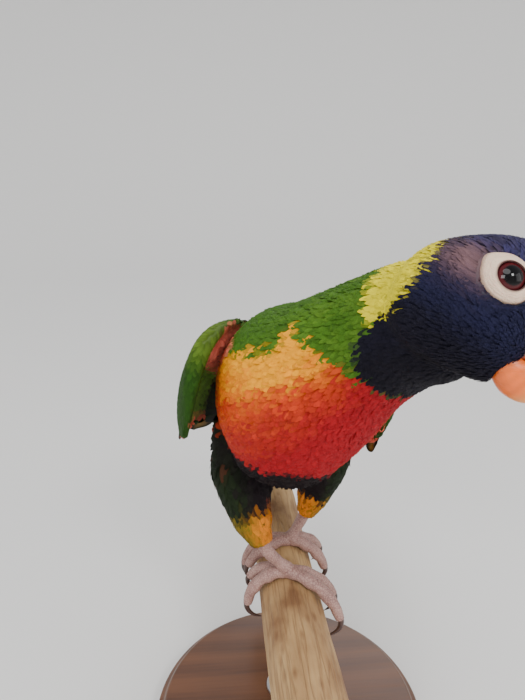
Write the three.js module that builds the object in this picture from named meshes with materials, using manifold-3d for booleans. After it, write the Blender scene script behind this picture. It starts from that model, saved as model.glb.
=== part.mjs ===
import * as THREE from 'three';
import { mergeVertices } from 'three/addons/utils/BufferGeometryUtils.js';
import Module from 'manifold-3d';

// A rainbow lorikeet, life size, leaning forward along a branch and looking to its left.
// Millimetres, +Z up. The origin is the centre of the base's underside. The perch runs
// along Y over it, the bird faces -Y, and its left side is +X.

const wasm = await Module();
wasm.setup();

// Driving sizes
const gap = 0.3; // left between pieces that meet
const finest = 0.02; // details smaller than this are left out
const perchRadius = 12.5;
const perchAxis = 64; // height of the perch's axis over the floor
const perchNear = -78;
const perchFar = 98;
const baseRadius = 58;
const baseThick = 12;
const rodRadius = 5;
const rodPlace = 6; // along the perch
const lean = 10; // degrees the body leans over to its left
const headTurn = 57; // degrees to the bird's left
const headNod = 33; // degrees down
const headTilt = 22; // degrees, right side up

const V = (x, y, z) => new THREE.Vector3(x, y, z);
const lerp = THREE.MathUtils.lerp;
const clamp = THREE.MathUtils.clamp;
const rad = THREE.MathUtils.degToRad;
const smooth = (t) => THREE.MathUtils.smoothstep(t, 0, 1);

// Seeded draw, so that the feathers vary alike on every run
function seeded(seed) {
  let state = seed;
  return () => {
    state = (state * 1664525 + 1013904223) % 4294967296;
    return state / 4294967296;
  };
}

// Solids
function solidOf(geometry) {
  const plain = geometry.clone();
  plain.deleteAttribute('normal');
  plain.deleteAttribute('uv');
  const merged = mergeVertices(plain, 1e-4);
  return new wasm.Manifold(new wasm.Mesh({
    numProp: 3,
    vertProperties: new Float32Array(merged.attributes.position.array),
    triVerts: new Uint32Array(merged.index.array),
  }));
}

function largest(solid) {
  const pieces = solid.decompose();
  pieces.sort((a, b) => b.volume() - a.volume());
  return pieces[0];
}

function geometryOf(solid) {
  const mesh = largest(solid).simplify(finest).getMesh();
  const geometry = new THREE.BufferGeometry();
  geometry.setAttribute('position', new THREE.BufferAttribute(mesh.vertProperties, 3));
  geometry.setIndex(new THREE.BufferAttribute(mesh.triVerts, 1));
  return geometry;
}

function unite(solids) {
  return solids.reduce((sum, next) => sum.add(next));
}

// Closes a row of rings, each with the same number of points, into one skin
function skinOf(rings) {
  const count = rings[0].length;
  const points = rings.flat().flatMap((p) => [p.x, p.y, p.z]);
  const faces = [];
  for (let r = 0; r < rings.length - 1; r++) {
    for (let i = 0; i < count; i++) {
      const a = r * count + i;
      const b = r * count + ((i + 1) % count);
      faces.push(a, b, a + count, b, b + count, a + count);
    }
  }
  const closeEnd = (ring, first, flip) => {
    const centre = ring.reduce((sum, p) => sum.add(p), V(0, 0, 0)).divideScalar(count);
    const hub = points.length / 3;
    points.push(centre.x, centre.y, centre.z);
    for (let i = 0; i < count; i++) {
      const a = first + i;
      const b = first + ((i + 1) % count);
      faces.push(hub, flip ? a : b, flip ? b : a);
    }
  };
  closeEnd(rings[0], 0, false);
  closeEnd(rings.at(-1), (rings.length - 1) * count, true);
  const geometry = new THREE.BufferGeometry();
  geometry.setAttribute('position', new THREE.Float32BufferAttribute(points, 3));
  geometry.setIndex(faces);
  return geometry;
}

// Turns the faces outwards where the rings ran the other way round
function closedSolid(geometry) {
  const solid = solidOf(geometry);
  if (solid.volume() > 0) return solid;
  const index = geometry.index.array;
  for (let i = 0; i < index.length; i += 3) {
    const keep = index[i];
    index[i] = index[i + 1];
    index[i + 1] = keep;
  }
  return solidOf(geometry);
}

function curveThrough(points) {
  return new THREE.CatmullRomCurve3(points, false, 'catmullrom', 0.5);
}

// The cross-section of a body at t: its centre, its ways and how far it reaches each way
function sectionOf(stations, leanBy) {
  const centres = curveThrough(stations.map((s) => s.at));
  const reaches = curveThrough(stations.map((s) => V(s.side, s.up, s.down)));
  return (t) => {
    const forward = centres.getTangent(clamp(t, 0.001, 0.999));
    const side = V(forward.y, -forward.x, 0).normalize().applyAxisAngle(forward, -rad(leanBy));
    const up = side.clone().cross(forward);
    return { centre: centres.getPoint(t), side, up, reach: reaches.getPoint(t) };
  };
}

// A point at an angle round a section, from its top towards the bird's right
function roundSection({ centre, side, up, reach }, angle, extra) {
  const tall = (Math.cos(angle) > 0 ? reach.y : reach.z) + extra;
  return centre.clone()
    .addScaledVector(side, Math.sin(angle) * (reach.x + extra))
    .addScaledVector(up, Math.cos(angle) * tall);
}

// A smooth body along stations, each with its centre, half width, and reach up and down
function bodyAlong(stations, sides, steps, extra = 0) {
  const section = sectionOf(stations, lean);
  const rings = [];
  for (let k = 0; k <= steps; k++) {
    const cut = section(k / steps);
    const ring = [];
    for (let i = 0; i < sides; i++) ring.push(roundSection(cut, (i / sides) * 2 * Math.PI, extra));
    rings.push(ring);
  }
  return closedSolid(skinOf(rings));
}

// A round limb along points, with a radius at each
function limbAlong(points, radii, sides, steps, extra = 0) {
  const centres = curveThrough(points);
  const frames = centres.computeFrenetFrames(steps, false);
  const rings = [];
  for (let k = 0; k <= steps; k++) {
    const t = k / steps;
    const run = t * (radii.length - 1);
    const i = Math.min(Math.floor(run), radii.length - 2);
    const radius = lerp(radii[i], radii[i + 1], smooth(run - i)) + extra;
    const centre = centres.getPoint(t);
    const ring = [];
    for (let j = 0; j < sides; j++) {
      const angle = (j / sides) * 2 * Math.PI;
      ring.push(centre.clone()
        .addScaledVector(frames.normals[k], Math.cos(angle) * radius)
        .addScaledVector(frames.binormals[k], Math.sin(angle) * radius));
    }
    rings.push(ring);
  }
  return closedSolid(skinOf(rings));
}

// Stand and perch
function standBase() {
  const edge = 2;
  const profile = [
    [0, 0],
    [baseRadius - 1, 0],
    [baseRadius, 1],
    [baseRadius, baseThick - edge],
    [baseRadius - 0.6, baseThick - 0.6],
    [baseRadius - edge, baseThick],
    [0, baseThick],
  ].map(([r, z]) => new THREE.Vector2(r, z));
  return solidOf(new THREE.LatheGeometry(profile, 32).rotateX(Math.PI / 2));
}

function perchSolid(extra = 0) {
  const sides = 20;
  const steps = 10;
  const evenRun = 30; // each way from the rod, where the feet stand
  const rings = [];
  for (let k = 0; k <= steps; k++) {
    const y = lerp(perchNear, perchFar, k / steps);
    const away = Math.max(0, Math.abs(y - rodPlace) - evenRun);
    const ring = [];
    for (let i = 0; i < sides; i++) {
      const angle = (i / sides) * 2 * Math.PI;
      const knot = 0.012 * away * Math.sin(3 * angle + y * 0.05) + 0.008 * away * Math.sin(y * 0.11);
      const radius = perchRadius + knot + extra;
      ring.push(V(Math.sin(angle) * radius, y, perchAxis + Math.cos(angle) * radius));
    }
    rings.push(ring);
  }
  return closedSolid(skinOf(rings));
}

function standRod() {
  const low = baseThick + gap;
  const high = perchAxis;
  const rod = new THREE.CylinderGeometry(rodRadius, rodRadius, high - low, 20);
  rod.rotateX(Math.PI / 2).translate(0, rodPlace, (high + low) / 2);
  return solidOf(rod).subtract(perchSolid(gap));
}

// Body: from the root of the tail to the back of the head, leaning over to its left
const fleshStations = [
  { at: V(3.6, 74, 122), side: 2, up: 1.5, down: 1.5 },
  { at: V(3.3, 66, 125), side: 6.5, up: 4.5, down: 5 },
  { at: V(3, 52, 130), side: 12.5, up: 10, down: 11.5 },
  { at: V(2, 34, 138), side: 20, up: 19, down: 20 },
  { at: V(0.5, 16, 146.5), side: 25.5, up: 27, down: 28 },
  { at: V(-0.5, -4, 155), side: 28.5, up: 31, down: 33 },
  { at: V(0.5, -21, 163.5), side: 28.5, up: 29, down: 31 },
  { at: V(4.5, -36, 171.5), side: 25.5, up: 24, down: 25.5 },
  { at: V(10.5, -48, 180), side: 21, up: 20.5, down: 20 },
  { at: V(17, -58.5, 187.5), side: 17.8, up: 18, down: 17 },
  { at: V(21.5, -68.5, 193), side: 15.8, up: 16, down: 16 },
  { at: V(25, -77, 195.5), side: 14, up: 14, down: 15 },
  { at: V(28.5, -84, 197), side: 9, up: 9, down: 10 },
  { at: V(30.5, -88, 197.5), side: 3.5, up: 3.5, down: 4 },
];

// Head: in its own frame, x forward along the gape, y up, z to the bird's right, with the
// eyes' line through its origin
const rightEye = V(27.8, -97.9, 206.8);
const eyeHalf = 12.5; // from the middle plane to the surface at each eye
function headMatrix() {
  const forward = V(0, -1, 0).applyAxisAngle(V(0, 0, 1), rad(headTurn));
  const right = forward.clone().cross(V(0, 0, 1)).normalize();
  forward.applyAxisAngle(right, -rad(headNod));
  right.applyAxisAngle(forward, -rad(headTilt));
  const up = right.clone().cross(forward);
  const middle = rightEye.clone().addScaledVector(right, -eyeHalf);
  return new THREE.Matrix4().makeBasis(forward, up, right).setPosition(middle);
}
const headPlace = headMatrix();

const headStations = [
  { x: -19.5, y: -8, side: 1.5, up: 1.5, down: 1.5 },
  { x: -17.5, y: -8, side: 8, up: 7.5, down: 8.5 },
  { x: -12.5, y: -7, side: 12, up: 12, down: 13.5 },
  { x: -6, y: -5.5, side: 13.6, up: 15.2, down: 16 },
  { x: 0, y: -5, side: 13.3, up: 16.5, down: 15.2 },
  { x: 4.5, y: -5, side: 11.7, up: 15.3, down: 14.2 },
  { x: 8.5, y: -5.5, side: 8.7, up: 12, down: 12.5 },
  { x: 11, y: -6, side: 5.9, up: 8.6, down: 9.2 },
  { x: 12, y: -6.5, side: 1.5, up: 2, down: 2 },
];

// Closed body between an upper and a lower line in the head's middle plane
function billBetween(upper, lower, widths, sides, steps, extra = 0) {
  const line = (list) => curveThrough(list.map(([x, y]) => V(x, y, 0)));
  const top = line(upper);
  const bottom = line(lower);
  const width = line(widths.map((w, i) => [i, w]));
  const rings = [];
  for (let k = 0; k <= steps; k++) {
    const t = k / steps;
    const high = top.getPoint(t);
    const low = bottom.getPoint(t);
    const centre = high.clone().add(low).divideScalar(2);
    const tall = high.clone().sub(low).divideScalar(2);
    tall.setLength(tall.length() + extra);
    const half = Math.max(width.getPoint(t).y, 0.15) + extra;
    const ring = [];
    for (let i = 0; i < sides; i++) {
      const angle = (i / sides) * 2 * Math.PI;
      ring.push(centre.clone()
        .addScaledVector(tall, Math.cos(angle))
        .add(V(0, 0, Math.sin(angle) * half)));
    }
    rings.push(ring);
  }
  return closedSolid(skinOf(rings));
}

// From the head's frame into the bird's
function place(solid) {
  const geometry = geometryOf(solid);
  geometry.applyMatrix4(headPlace);
  return solidOf(geometry);
}

function headShape() {
  const centres = curveThrough(headStations.map((s) => V(s.x, s.y, 0)));
  const reaches = curveThrough(headStations.map((s) => V(s.side, s.up, s.down)));
  const rings = [];
  const steps = 15;
  const sides = 24;
  for (let k = 0; k <= steps; k++) {
    const centre = centres.getPoint(k / steps);
    const reach = reaches.getPoint(k / steps);
    const ring = [];
    for (let i = 0; i < sides; i++) {
      const angle = (i / sides) * 2 * Math.PI;
      const tall = Math.cos(angle) > 0 ? reach.y : reach.z;
      ring.push(V(centre.x, centre.y + Math.cos(angle) * tall, Math.sin(angle) * reach.x));
    }
    rings.push(ring);
  }
  return closedSolid(skinOf(rings));
}

const eyeRadius = 4.4;
const eyeDeep = 8.9; // centre of each eyeball from the head's middle plane
const eyeBack = 1.2; // how far each lies behind the eyes' line
const eyeLow = 0.9; // and below it
const lidRadius = 4.0;
const lidThick = 1.1;
const lidOut = 3.1; // the lids' ring from the eyeball's centre
const eyeAhead = 13; // degrees each eye looks forward of sideways
const eyeRaised = 15; // and upwards

function eyeSolid(sideSign, extra = 0) {
  const ball = new THREE.SphereGeometry(eyeRadius + extra, 14, 8);
  ball.rotateX(Math.PI / 2).translate(-eyeBack, -eyeLow, sideSign * eyeDeep);
  return solidOf(ball);
}

function lidSolid(sideSign) {
  const ring = new THREE.TorusGeometry(lidRadius, lidThick, 6, 18);
  ring.scale(1.12, 1, 1).translate(0, 0, sideSign * lidOut);
  ring.rotateY(sideSign * rad(eyeAhead)).rotateX(-sideSign * rad(eyeRaised));
  return solidOf(ring.translate(-eyeBack, -eyeLow, sideSign * eyeDeep));
}

const culmen = [[6, 4.2], [11.5, 3.2], [16.5, 0.2], [20, -5], [21.4, -10.5], [21, -16]];
const tomium = [[6, -9.5], [10.5, -9.2], [14.5, -8.8], [17, -10], [19.2, -13], [20.8, -16.2]];
const upperHalf = [5.5, 5.1, 4.3, 3.2, 1.8, 0.2];
const lowerTop = [[8.4, -9.7], [11.5, -9.8], [14.5, -9.6], [18, -12.3]];
const lowerBottom = [[9.2, -15.5], [12.5, -16.8], [16, -15.8], [18.3, -13.3]];
const lowerHalf = [4.9, 4.7, 3.6, 0.8];

function billUpper(extra = 0) {
  return billBetween(culmen, tomium, upperHalf, 14, 9, extra);
}

function billLower(extra = 0) {
  return billBetween(lowerTop, lowerBottom, lowerHalf, 12, 6, extra);
}

function nostril(sideSign) {
  const bore = new THREE.CylinderGeometry(0.8, 0.6, 2.4, 12);
  bore.rotateX(Math.PI / 2).translate(9.6, 0.9, sideSign * 5);
  return solidOf(bore);
}

// Limbs. Each foot is turned across the branch: the front toes of one side and the hind
// toes of the other share a flank of it.
const toeRadius = 2.5;
const legs = [
  {
    name: 'right',
    thigh: [V(-16, 6, 140), V(-19.3, 3, 121), V(-16.3, -2, 104), V(-11.6, -5.2, 92.5)],
    thighRadii: [15, 13, 8.7, 4.6],
    ankle: V(-9.5, -5.6, 89),
    joint: { turn: -5, y: -4.4 },
    toes: [
      { name: '2', turn: 72, y: -7.5, length: 1 },
      { name: '3', turn: 84, y: -17.5, length: 1 },
      { name: '1', turn: -68, y: 4.5, length: 0.9 },
      { name: '4', turn: -92, y: -2.5, length: 1 },
    ],
  },
  {
    name: 'left',
    thigh: [V(12, 12, 140), V(15, 12, 121), V(12.5, 15, 104), V(9.2, 18, 92)],
    thighRadii: [15, 12, 7.6, 4.4],
    ankle: V(7.5, 18.4, 88.5),
    joint: { turn: 9, y: 18 },
    toes: [
      { name: '2', turn: -70, y: 13, length: 1 },
      { name: '3', turn: -88, y: 22.5, length: 1 },
      { name: '1', turn: 70, y: 24.5, length: 0.9 },
      { name: '4', turn: 84, y: 15, length: 1 },
    ],
  },
];

// A point at a turn round the perch from its top, at y along it, at a reach from its axis
function roundPerch(turn, y, reach) {
  return V(Math.sin(rad(turn)) * reach, y, perchAxis + Math.cos(rad(turn)) * reach);
}

function toePath(joint, toe, from, to, count, lift) {
  const points = [];
  for (let k = 0; k <= count; k++) {
    const t = lerp(from, to, k / count);
    const turn = lerp(joint.turn, toe.turn, t);
    const y = lerp(joint.y, toe.y, Math.sin(Math.min(t, 1.25) * 0.5 * Math.PI * 0.9));
    points.push(roundPerch(turn, y, perchRadius + toeRadius + lift(k / count)));
  }
  return points;
}

function toeSolid(leg, toe, extra = 0) {
  const knuckles = (k) => 0.5 * Math.sin(k * Math.PI) + 2.8 * k * k;
  const points = toePath(leg.joint, toe, 0, 1, 6, knuckles);
  const radii = [2.6, 2.5, 2.7, 2.35, 2.55, 2.2, 1.8];
  return limbAlong(points, radii, 7, 8, extra);
}

function clawSolid(leg, toe) {
  const arch = (k) => 2.6 + 1.4 * Math.sin(k * Math.PI) - 4.4 * k * k;
  const points = toePath(leg.joint, toe, 0.94, 1.36, 4, arch);
  const claw = limbAlong(points, [1.35, 1.25, 0.95, 0.6, 0.2], 6, 5);
  return largest(claw.subtract(toeSolid(leg, toe, gap)).subtract(perchSolid(gap)));
}

function thighSolid(leg, extra = 0) {
  return limbAlong(leg.thigh, leg.thighRadii, 16, 8, extra);
}

function footSolid(leg) {
  const joint = roundPerch(leg.joint.turn, leg.joint.y, perchRadius + toeRadius + 0.6);
  const middle = joint.clone().lerp(leg.ankle, 0.5);
  const top = leg.thigh.at(-1).clone().lerp(leg.thigh.at(-2), 0.2);
  const shank = limbAlong([joint, middle, leg.ankle, top], [3, 2.2, 2.5, 2.5], 10, 6);
  const toes = leg.toes.map((toe) => toeSolid(leg, toe));
  return unite([shank, ...toes]).subtract(thighSolid(leg, gap)).subtract(perchSolid(gap));
}

// Feathers
const vaneThick = 0.55;
const vaneDroop = 0.06; // of each rim, over half a feather's width

// A thin sheet from a grid of { at, out }, split alike on both faces
function sheetSolid(grid, halfThick) {
  const rows = grid.length;
  const cols = grid[0].length;
  const points = [];
  for (const face of [1, -1]) {
    grid.forEach((row, r) => row.forEach(({ at, out }, c) => {
      const p = at.clone().addScaledVector(out, face * halfThick(r / (rows - 1), c / (cols - 1)));
      points.push(p.x, p.y, p.z);
    }));
  }
  const under = rows * cols;
  const id = (r, c) => r * cols + c;
  const faces = [];
  for (let r = 0; r < rows - 1; r++) {
    for (let c = 0; c < cols - 1; c++) {
      const [a, b, d, e] = [id(r, c), id(r, c + 1), id(r + 1, c), id(r + 1, c + 1)];
      faces.push(a, b, d, b, e, d);
      faces.push(under + a, under + d, under + b, under + b, under + d, under + e);
    }
  }
  const wall = (a, b) => faces.push(a, under + a, b, b, under + a, under + b);
  for (let c = 0; c < cols - 1; c++) {
    wall(id(0, c), id(0, c + 1));
    wall(id(rows - 1, c + 1), id(rows - 1, c));
  }
  for (let r = 0; r < rows - 1; r++) {
    wall(id(r, cols - 1), id(r + 1, cols - 1));
    wall(id(r + 1, 0), id(r, 0));
  }
  const geometry = new THREE.BufferGeometry();
  geometry.setAttribute('position', new THREE.Float32BufferAttribute(points, 3));
  geometry.setIndex(faces);
  return closedSolid(geometry);
}

// A feather along a path: at(k) gives its middle line, side(k) and out(k) its directions.
// Its inner half may be narrower, and its rims droop a little.
function vaneSolid({ at, side, out, width, steps, point, inner = 1 }) {
  const grid = [];
  for (let r = 0; r <= steps; r++) {
    const k = r / steps;
    const blade = lerp(0.5, 1, smooth(Math.min(k / 0.4, 1)));
    const tip = k < 1 - point ? 1 : Math.sqrt(Math.max(0.02, 1 - ((k - 1 + point) / point) ** 2));
    const half = (width / 2) * blade * tip;
    grid.push([-inner, 0, 1].map((c) => ({
      at: at(k).addScaledVector(side(k), c * half).addScaledVector(out(k), -c * c * half * vaneDroop),
      out: out(k),
    })));
  }
  return sheetSolid(grid, (k) => (vaneThick / 2) * (k > 0.99 ? 0.6 : 1));
}

// Wings. A folded wing lies on a curved sheet through three lines from the bend at 0 to the
// tip at 1: its lower edge, its middle and its upper edge. Where it lies beside the body each
// line is set off from the body's surface: how far along the body, the angle, the distance.
const wingRun = 110; // its length over ground, used where a line is carried on past an end
const bodySection = sectionOf(fleshStations, lean);
function offBody(hand, [station, angle, away]) {
  return roundSection(bodySection(station / (fleshStations.length - 1)), rad(-hand * angle), away);
}

const wings = [
  {
    name: 'right',
    hand: -1,
    lower: [
      [6, 127, 15.5], [5, 124, 15], [3.9, 118, 12],
      V(-21, 62, 118), V(-13.5, 86, 113.5), V(-7, 109, 112.5),
    ],
    middle: [
      [6.3, 84, 9], [5.2, 84, 9], [4, 84, 7],
      V(-16, 62, 130), V(-9.5, 86, 121.5), V(-4.5, 110, 116.5),
    ],
    upper: [
      [6, 50, 2.2], [5, 42, 2.6], [3.9, 34, 3],
      V(-2.5, 60, 140), V(-0.5, 84, 128.5), V(0.6, 107, 119.5),
    ],
    seed: 11,
  },
  {
    name: 'left',
    hand: 1,
    lower: [
      [6, 112, 3.8], [5, 115, 6], [3.9, 114, 6.5],
      V(25, 62, 118), V(20, 86, 113.5), V(15, 109, 112.5),
    ],
    middle: [
      [6.3, 80, 4], [5.2, 80, 4.2], [4, 80, 4.2],
      V(21, 62, 130), V(16, 86, 121.5), V(12, 110, 116.5),
    ],
    upper: [
      [6, 42, 3], [5, 38, 3.5], [3.9, 34, 3.5],
      V(7.6, 60, 140), V(7.4, 84, 128.5), V(6.8, 107, 119.5),
    ],
    seed: 24,
  },
];

function wingSheet(wing) {
  const line = (list) => {
    const points = list.map((p) => (p.isVector3 ? p : offBody(wing.hand, p)));
    return curveThrough(points);
  };
  const [lower, middle, upper] = [line(wing.lower), line(wing.middle), line(wing.upper)];
  const at = (s, t) => {
    const c = clamp(s, 0, 1);
    return lower.getPoint(c).multiplyScalar((1 - t) * (1 - 2 * t))
      .addScaledVector(middle.getPoint(c), 4 * t * (1 - t))
      .addScaledVector(upper.getPoint(c), t * (2 * t - 1));
  };
  const frame = (s, t) => {
    const along = at(Math.min(s + 0.01, 1), t).sub(at(Math.max(s - 0.01, 0), t)).normalize();
    const across = at(s, t + 0.02).sub(at(s, t - 0.02)).normalize();
    const out = along.clone().cross(across).normalize().multiplyScalar(wing.hand);
    return { along, across: out.clone().cross(along).multiplyScalar(wing.hand), out };
  };
  return { at, frame };
}

// The arm with its small coverts, thick at the bend and thin behind
function wingArm(sheet) {
  const grid = [];
  const rows = 7;
  const cols = 6;
  for (let r = 0; r <= rows; r++) {
    const s = lerp(-0.03, 0.47, (r / rows) ** 1.15);
    const round = Math.sqrt(Math.max(0.02, 1 - Math.max(0, 1 - (r / rows) / 0.3) ** 2));
    const row = [];
    for (let c = 0; c <= cols; c++) {
      const t = 0.52 + (c / cols - 0.5) * 0.96 * round;
      const ahead = Math.min(s, 0);
      const frame = sheet.frame(Math.max(s, 0), t);
      row.push({ at: sheet.at(s, t).addScaledVector(frame.along, ahead * wingRun), out: frame.out });
    }
    grid.push(row);
  }
  return sheetSolid(grid, (r, c) => {
    const plump = lerp(0.8, 3.4, Math.sqrt(Math.max(0, 1 - (2 * c - 1) ** 2)));
    const rounded = lerp(0.3, 1, smooth(Math.min(r / 0.25, 1)));
    return lerp(plump, 0.9, smooth(clamp(r / 0.85, 0, 1))) * rounded;
  });
}

// A feather of the wing, with where it starts and ends along the sheet and across it, how far
// it is lifted off it, and its turn like a louvre's, so that its lower rim covers the next one
function wingVane(sheet, { s, t, lift, louvre, width, steps, point }) {
  const frame = (k) => {
    const { along, across, out } = sheet.frame(clamp(lerp(...s, k), 0, 0.99), lerp(...t, k));
    const slope = Math.tan(rad(lerp(...louvre, k)));
    return {
      along,
      side: across.clone().addScaledVector(out, -slope).normalize(),
      out: out.clone().addScaledVector(across, slope).normalize(),
    };
  };
  const at = (k) => {
    const run = lerp(...s, k);
    const { along, out } = frame(k);
    return sheet.at(run, lerp(...t, k))
      .addScaledVector(out, lerp(...lift, k))
      .addScaledVector(along, Math.max(0, run - 1) * wingRun);
  };
  return vaneSolid({ at, side: (k) => frame(k).side, out: (k) => frame(k).out, width, steps, point });
}

// The tiers of a folded wing, from the longest feathers to the small ones that cover them
function wingSolid(wing) {
  const sheet = wingSheet(wing);
  const draw = seeded(wing.seed);
  const vary = (amount) => (draw() - 0.5) * 2 * amount;
  const pieces = [wingArm(sheet)];
  const primaryEnds = [0.88, 0.97, 1.02, 1.0, 0.96, 0.92, 0.87];
  primaryEnds.forEach((end, i) => {
    pieces.push(wingVane(sheet, {
      s: [0.42, end + vary(0.005)],
      t: [0.1 + 0.08 * i, 0.12 + 0.12 * i],
      lift: [0.1 * i - 0.3, 0.55 * i - 0.3],
      louvre: [10, 14],
      width: 9,
      steps: 5,
      point: 0.3,
    }));
  });
  const tiers = [
    { count: 6, run: [0.39, 0.69], more: 0.018, across: [0.34, 0.9], width: 9.5, lift: [0.5, 3], steps: 4 },
    { count: 7, run: [0.31, 0.5], more: 0, across: [0.1, 0.9], width: 8.6, lift: [0.9, 3.2], steps: 3 },
    { count: 6, run: [0.18, 0.34], more: 0, across: [0.14, 0.86], width: 9.5, lift: [1.7, 3.8], steps: 3 },
  ];
  for (const tier of tiers) {
    for (let i = 0; i < tier.count; i++) {
      const t = lerp(...tier.across, i / (tier.count - 1));
      const end = tier.run[1] + tier.more * i + vary(0.008);
      const { lift, width, steps } = tier;
      pieces.push(wingVane(sheet, {
        s: [tier.run[0], end], t: [t, t], lift, louvre: [11, 12], width, steps, point: 0.35,
      }));
    }
  }
  return unite(pieces);
}

// Tail
const tailRoot = V(3.1, 57, 127.2);
const tailTip = V(5.5, 146, 98.5);
const tailLengths = [89, 84, 76, 68, 59, 50];
const tailWays = (() => {
  const along = tailTip.clone().sub(tailRoot).normalize();
  const across = V(1, 0, 0).addScaledVector(along, -along.x).normalize();
  return { along, across, out: across.clone().cross(along).normalize() };
})();

// A feather of the tail on one side of its middle, or across it where the sign is 1
function tailVane({ sign, from, shift, drop, fan, length, width, roof, point, steps, inner, rise = 0 }) {
  const { along, across, out } = tailWays;
  const aside = across.clone().multiplyScalar(sign);
  const way = along.clone()
    .addScaledVector(aside, Math.tan(rad(fan)))
    .addScaledVector(out, rise)
    .normalize();
  const side = aside.clone().addScaledVector(out, -Math.tan(rad(roof))).normalize();
  const up = side.clone().cross(way).normalize();
  const start = tailRoot.clone()
    .addScaledVector(along, from).addScaledVector(aside, shift).addScaledVector(out, drop);
  const at = (k) => start.clone().addScaledVector(way, length * k);
  return vaneSolid({ at, side: () => side, out: () => up, width, point, steps, inner });
}

// Six feathers a side, the middle pair longest and on top, with short coverts over and under
function tailVanes() {
  const draw = seeded(5);
  const vary = (amount) => (draw() - 0.5) * 2 * amount;
  const pieces = [];
  const width = 8.4;
  tailLengths.forEach((length, i) => {
    for (const sign of bothSides) {
      const middle = i === 0;
      const shift = middle ? 0.8 : 0.7 + 0.9 * i;
      const drop = middle ? 0.05 + 0.45 * sign : -0.2 - 1.1 * i;
      const inner = middle ? 0.8 : Math.min(1, (shift - gap) / (width / 2));
      pieces.push(tailVane({
        sign, from: 2, shift, drop, fan: 0.3 + 0.8 * i, length: length + vary(1), width,
        roof: middle ? 0 : 5, point: 0.6, steps: 4, inner,
      }));
    }
  });
  const coverts = { from: 1, width: 8, point: 0.4, steps: 3, inner: 1 };
  for (const sign of [1, 0, -1]) {
    const aside = Math.abs(sign);
    const length = 27 - 4 * aside + vary(1);
    const shape = { ...coverts, sign: sign || 1, shift: 3.6 * aside, fan: 2 * aside, length };
    pieces.push(tailVane({ ...shape, drop: 2.4 - 0.9 * aside, roof: 8 * aside, rise: 0.02 }));
    pieces.push(tailVane({ ...shape, drop: 0.9 * aside - 7.7, roof: 0, rise: -0.02 }));
  }
  return pieces;
}

// Assembly
const bothSides = [1, -1];
const bird = new THREE.Group();
function add(name, solid, colour, roughness, metalness = 0) {
  const material = new THREE.MeshStandardMaterial({ color: colour, roughness, metalness });
  const mesh = new THREE.Mesh(geometryOf(solid), material);
  mesh.name = name;
  bird.add(mesh);
}

add('stand_base', standBase(), 0x6b5238, 0.5);
add('stand_rod', standRod(), 0x9a9a98, 0.3, 1);
add('perch', perchSolid(), 0xbe9b69, 0.8);

const bodySides = 24;
const bodySteps = 30;
let flesh = bodyAlong(fleshStations, bodySides, bodySteps).add(place(headShape()));
for (const sign of bothSides) flesh = flesh.add(place(lidSolid(sign)));
for (const sign of bothSides) flesh = flesh.subtract(place(eyeSolid(sign, gap)));
flesh = flesh.subtract(place(billUpper(gap))).subtract(place(billLower(gap)));
const bodySkin = bodyAlong(fleshStations, bodySides, bodySteps, gap);

// Parts a solid in two by a thin cut square to a direction
function parted(solid, point, direction) {
  const way = direction.clone().normalize();
  const place = point.dot(way);
  const ahead = solid.trimByPlane(way.toArray(), place + gap / 2);
  const behind = solid.trimByPlane(way.clone().negate().toArray(), -place + gap / 2);
  return [ahead, behind];
}

const neckCut = { at: V(12.5, -51.5, 182.5), way: V(0.5, -0.72, 0.48) };
const headCut = { at: V(25.5, -75, 195.5), way: V(0.5, -0.8, 0.25) };
const tailCut = { at: tailRoot, way: tailWays.along };
const [rump, front] = parted(flesh, tailCut.at, tailCut.way);
const [foreparts, torso] = parted(front, neckCut.at, neckCut.way);
const [head, neck] = parted(foreparts, headCut.at, headCut.way);
const beak = billUpper().subtract(nostril(1)).subtract(nostril(-1));

add('head', head, 0x24304f, 0.8);
add('neck', neck, 0x4a7a28, 0.8);
add('torso', torso, 0xc04a38, 0.8);
add('bill_upper', place(beak), 0xdc8c50, 0.4);
add('bill_lower', place(largest(billLower().subtract(billUpper(gap)))), 0xc87840, 0.4);
add('eye_right', place(eyeSolid(1)), 0x3a1010, 0.1);
add('eye_left', place(eyeSolid(-1)), 0x3a1010, 0.1);
const tail = unite([rump, ...tailVanes()]);
const tailFaces = parted(tail, tailCut.at, tailCut.way)[0];
add('tail', tailFaces, 0x3e7a1e, 0.8);
for (const leg of legs) {
  add(`thigh_${leg.name}`, thighSolid(leg).subtract(bodySkin), 0x8a7a20, 0.8);
  add(`foot_${leg.name}`, footSolid(leg), 0xa5827d, 0.7);
  for (const toe of leg.toes) {
    add(`claw_${leg.name}_${toe.name}`, clawSolid(leg, toe), 0x2c1a1a, 0.4);
  }
}
wings.forEach((wing, i) => {
  const clear = wingSolid(wing).subtract(bodySkin).subtract(thighSolid(legs[i], gap));
  add(`wing_${wing.name}`, clear, 0x3a701c, 0.8);
});

export default bird;
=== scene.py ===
import math
from functools import partialmethod

import bmesh
import bpy
import numpy as np
from mathutils import Matrix, Vector, noise
from mathutils.bvhtree import BVHTree
from mathutils.kdtree import KDTree


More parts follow.
